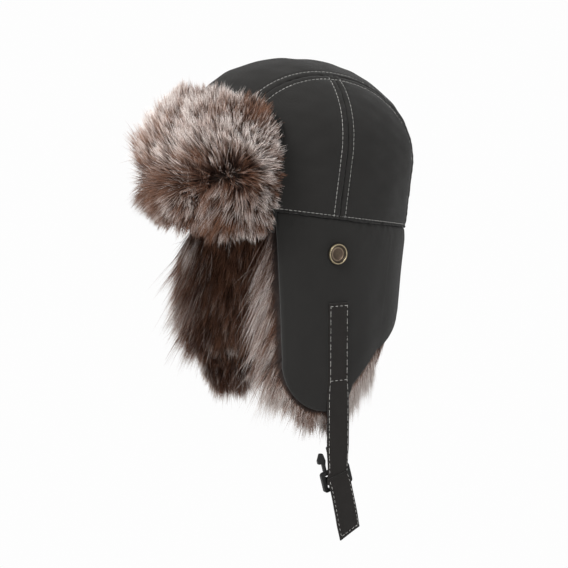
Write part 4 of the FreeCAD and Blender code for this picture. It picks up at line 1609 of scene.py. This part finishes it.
def strap_upper():
    """The length sewn on the left flap and the start of the hanging length."""
    blend = ("left_ear", "chin_strap_upper", *strap_zone(STRAP_SEWN_LOW, 7))
    path = plumb_path(STRAP_TOP, STRAP_SPLIT)
    replaced = ("left_ear_strap_sewn", "strap_upper")
    ribbon("chin_strap_upper_cloth", path, STRAP_HALF, STRAP_THICK, replaced, blend=blend)
    rows = strap_rows(STRAP_TOP - 2, STRAP_SPLIT, STRAP_FACE)
    reach = (STRAP_HALF - STITCH_INSET) * strap_spread(STRAP_TOP)
    for height in (STRAP_TOP - 2.6, STRAP_SEWN_LOW + 2.5):
        rows += cross_stitches(height, STRAP_FACE, reach, (1, 0, 0))
    thread_piece("chin_strap_upper_stitching", rows, THREAD_RADIUS, blend=blend)


def strap_lower():
    """The hanging length, turned to lie along the buckle's bar and wrapped round it."""
    blend = ("chin_strap_upper", "chin_strap_lower", *strap_zone(STRAP_BEND, 8))
    centres, widths, outwards = plumb_path(STRAP_SPLIT, BAR[2] + 0.5)
    wrap = STRAP_MID - BAR[0]
    turn = np.linspace(0, math.radians(250), 22)[1:]
    radial = np.stack([np.cos(turn), np.zeros_like(turn), -np.sin(turn)], 1)
    around = BAR + wrap * radial
    slant = smooth((STRAP_BEND - centres[:, 2]) / (STRAP_BEND - BAR[2]))[:, None]
    widths = unit(widths * (1 - slant) + BAR_AXIS * slant) * strap_spread(centres[:, 2])[:, None]
    path = (
        np.concatenate([centres, around]),
        np.concatenate([widths, np.tile(BAR_AXIS * 1.06, (len(turn), 1))]),
        np.concatenate([outwards, radial]),
    )
    ribbon("chin_strap_lower_cloth", path, STRAP_HALF, STRAP_THICK, ["strap_lower"], blend=blend)
    rows = strap_rows(STRAP_SPLIT, BAR[2] + 5, STRAP_FACE)
    thread_piece("chin_strap_lower_stitching", rows, THREAD_RADIUS, blend=blend)


def strap_tail():
    """The free end: it comes over the bar, hangs in front of the buckle and is cut and sewn at a slant."""
    low, high = node_box("strap_tail")
    thick = high[0] - low[0]
    down = np.array([0.0, math.sin(TAIL_SLANT), -math.cos(TAIL_SLANT)])
    straight = np.array([0.0, math.cos(TAIL_SLANT), math.sin(TAIL_SLANT)])
    front = (low[0] + high[0]) / 2
    along = np.linspace(-0.06, 1, 40)
    settle = smooth(1 - along / 0.09)
    bow = 0.7 * np.sin(np.clip(along, 0, 1) * math.pi * 1.5)
    centres = np.array([front, BAR[1], BAR[2]]) + down * (along * TAIL_LENGTH)[:, None]
    centres[:, 0] += bow * 0.6 - 1.1 * settle
    turn = smooth(1 - along / 0.25)[:, None]
    widths = unit(straight * (1 - turn) + BAR_AXIS * turn)
    last = smooth((along - 0.55) / 0.45)[:, None]
    slanted = np.array([0.0, math.cos(TAIL_SLANT + TAIL_END_TURN), math.sin(TAIL_SLANT + TAIL_END_TURN)])
    widths = unit(widths * (1 - last) + slanted * last) * (1.05 + 0.05 * smooth(along))[:, None]
    outwards = np.tile([1.0, 0, 0], (len(along), 1))
    start = BAR + down * 3
    end = BAR + down * 12
    blend = ("buckle", "chin_strap_tail", list(start * MM), list(end * MM))
    path = (centres, widths, outwards)
    ribbon("chin_strap_tail_cloth", path, STRAP_HALF, thick, ["strap_tail"], blend=blend)
    face = np.array([1.0, 0, 0]) * (thick / 2 + 0.14)
    rows = []
    for side in (-1, 1):
        line = centres + widths * side * (STRAP_HALF - STITCH_INSET) + face
        for first, following in zip(line[2:-4:3], line[5:-1:3]):
            rows += straight_stitches(first, following, (1, 0, 0))
    across = centres[-3] + face
    reach = widths[-3] * (STRAP_HALF - 2.4)
    rows += straight_stitches(across - reach, across + reach, (1, 0, 0))
    thread_piece("chin_strap_tail_stitching", rows, THREAD_RADIUS, blend=blend)


def loop_strap():
    """The short loop on the right flap that holds the buckle's housing."""
    top = node_box("right_ear_strap_loop")[1][2]
    housing = joint_place("buckle_housing_swing")
    wrap = 2.7
    down = np.linspace(top, housing[2], 20)
    inner = np.stack([np.full_like(down, housing[0] + wrap), np.full_like(down, STRAP_Y), down], 1)
    turn = np.linspace(0, math.pi, 12)[1:-1]
    under_x = housing[0] + wrap * np.cos(turn)
    under = np.stack([under_x, np.full_like(turn, STRAP_Y), housing[2] - wrap * np.sin(turn)], 1)
    back = down[::-1]
    join = smooth((back - housing[2]) / 12)
    outer_x = housing[0] - wrap * (1 - join) + (wrap - STRAP_THICK) * join
    outer = np.stack([outer_x, np.full_like(back, STRAP_Y), back], 1)
    centres = np.concatenate([inner, under, outer])
    tangents = unit(np.gradient(centres, axis=0))
    widths = np.tile([0.0, 1.0, 0.0], (len(centres), 1))
    outwards = unit(np.cross(widths, tangents))
    path = (centres, widths, outwards)
    ribbon("housing_loop_cloth", path, STRAP_HALF, STRAP_THICK * 0.95, ["right_ear_strap_loop"], "right_ear")
    face = outer[-1][0] - STRAP_THICK / 2 - 0.12
    rows = []
    for height in (top - 2.6, top - 13):
        rows += cross_stitches(height, face, STRAP_HALF - STITCH_INSET, (-1, 0, 0))
    thread_piece("housing_loop_stitching", rows, THREAD_RADIUS, body="right_ear")


def plastic_parts():
    """The buckle's parts keep their designed shapes, with softened moulded edges."""
    for name in ("buckle_frame", "buckle_front_prong", "buckle_rear_prong", "buckle_housing"):
        node = frame["nodes"][name]
        node.data.materials.clear()
        node.data.materials.append(PLASTIC)
        weld = node.modifiers.new("weld", "WELD")
        weld.merge_threshold = 0.00001
        bevel = node.modifiers.new("moulded_edge", "BEVEL")
        bevel.width = 0.0005
        bevel.segments = 3
        bevel.limit_method = "ANGLE"
        bevel.angle_limit = math.radians(35)
        bevel.harden_normals = False


# ---------------------------------------------------------------- stage, light and camera


def area_light(name, place, target, size, power):
    """A white square light aimed at a target."""
    light = bpy.data.lights.new(name, "AREA")
    light.size = size
    light.energy = power
    lamp = bpy.data.objects.new(name, light)
    lamp.location = place
    lamp.rotation_euler = (Vector(target) - Vector(place)).to_track_quat("-Z", "Y").to_euler()
    bpy.context.scene.collection.objects.link(lamp)


def pale_surround(tree, surface, glow):
    """The eye sees an even pale ground, while the hat gets the surface's own softer light."""
    path = tree.nodes.new("ShaderNodeLightPath")
    painted = surface.name.startswith("Principled")
    shine = tree.nodes.new("ShaderNodeEmission" if painted else "ShaderNodeBackground")
    shine.inputs["Strength"].default_value = glow
    shine.inputs["Color"].default_value = (1, 1, 1, 1)
    mix = tree.nodes.new("ShaderNodeMixShader")
    tree.links.new(path.outputs["Is Camera Ray"], mix.inputs[0])
    tree.links.new(surface.outputs[0], mix.inputs[1])
    tree.links.new(shine.outputs[0], mix.inputs[2])
    output = next(node for node in tree.nodes if node.type.startswith("OUTPUT"))
    tree.links.new(mix.outputs[0], output.inputs["Surface"])


def studio():
    """A pale floor and sky, a key light from the front and a fainter one from the wearer's left."""
    low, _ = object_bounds()
    bpy.ops.mesh.primitive_plane_add(size=8, location=(0, 0, low[2] - 0.002))
    floor = bpy.context.object
    floor.name = "studio_floor"
    shader = Shader("pale_floor")
    shader.join(shader.ramp(shader.noise(6), (0, (0.86,) * 3), (1, (0.90,) * 3)), "Base Color")
    shader.set(Roughness=0.9)
    pale_surround(shader.material.node_tree, shader.surface, GLOW)
    floor.data.materials.append(shader.material)
    floor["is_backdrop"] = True
    bpy.context.scene.view_settings.view_transform = "Standard"
    world = bpy.context.scene.world or bpy.data.worlds.new("studio")
    bpy.context.scene.world = world
    world.use_nodes = True
    background = world.node_tree.nodes["Background"]
    background.inputs["Color"].default_value = (1, 1, 1, 1)
    background.inputs["Strength"].default_value = 0.72
    pale_surround(world.node_tree, background, GLOW)
    area_light("key_light", (0.3, -1.3, 1.5), (0, 0, 0), 0.9, 54)
    area_light("side_light", (1.7, 0.1, 0.6), (0, 0, -0.05), 0.9, 12)


def camera():
    """A level-headed view from the wearer's front left, with the hat above the middle of the picture."""
    flat = math.cos(ELEVATION)
    back = Vector((math.sin(AZIMUTH) * flat, -math.cos(AZIMUTH) * flat, math.sin(ELEVATION)))
    right = Vector((math.cos(AZIMUTH), math.sin(AZIMUTH), 0))
    up = back.cross(right)
    data = bpy.data.cameras.new("camera")
    data.lens = 89.4
    data.sensor_width = 36
    data.clip_start = 0.05
    eye = bpy.data.objects.new("camera", data)
    eye.location = back * DISTANCE - right * RIGHT_IN_VIEW - up * RISE_IN_VIEW
    eye.rotation_euler = (-back).to_track_quat("-Z", "Y").to_euler()
    bpy.context.scene.collection.objects.link(eye)
    bpy.context.scene.camera = eye


def build():
    """Every piece, then the stage."""
    panels = crown_cloth()
    crown_stitching(panels)
    crown_inside()
    band_welt()
    brow_band()
    visor_backing()
    visor_fur()
    for side_name, side in SIDES:
        ear_pieces(side_name, side)
        ear_fur(side_name, side)
        ear_undercoat(side_name, side)
        snap(side_name, side)
    neck_cloth()
    neck_fur()
    strap_upper()
    strap_lower()
    strap_tail()
    loop_strap()
    plastic_parts()
    studio()
    camera()


build()
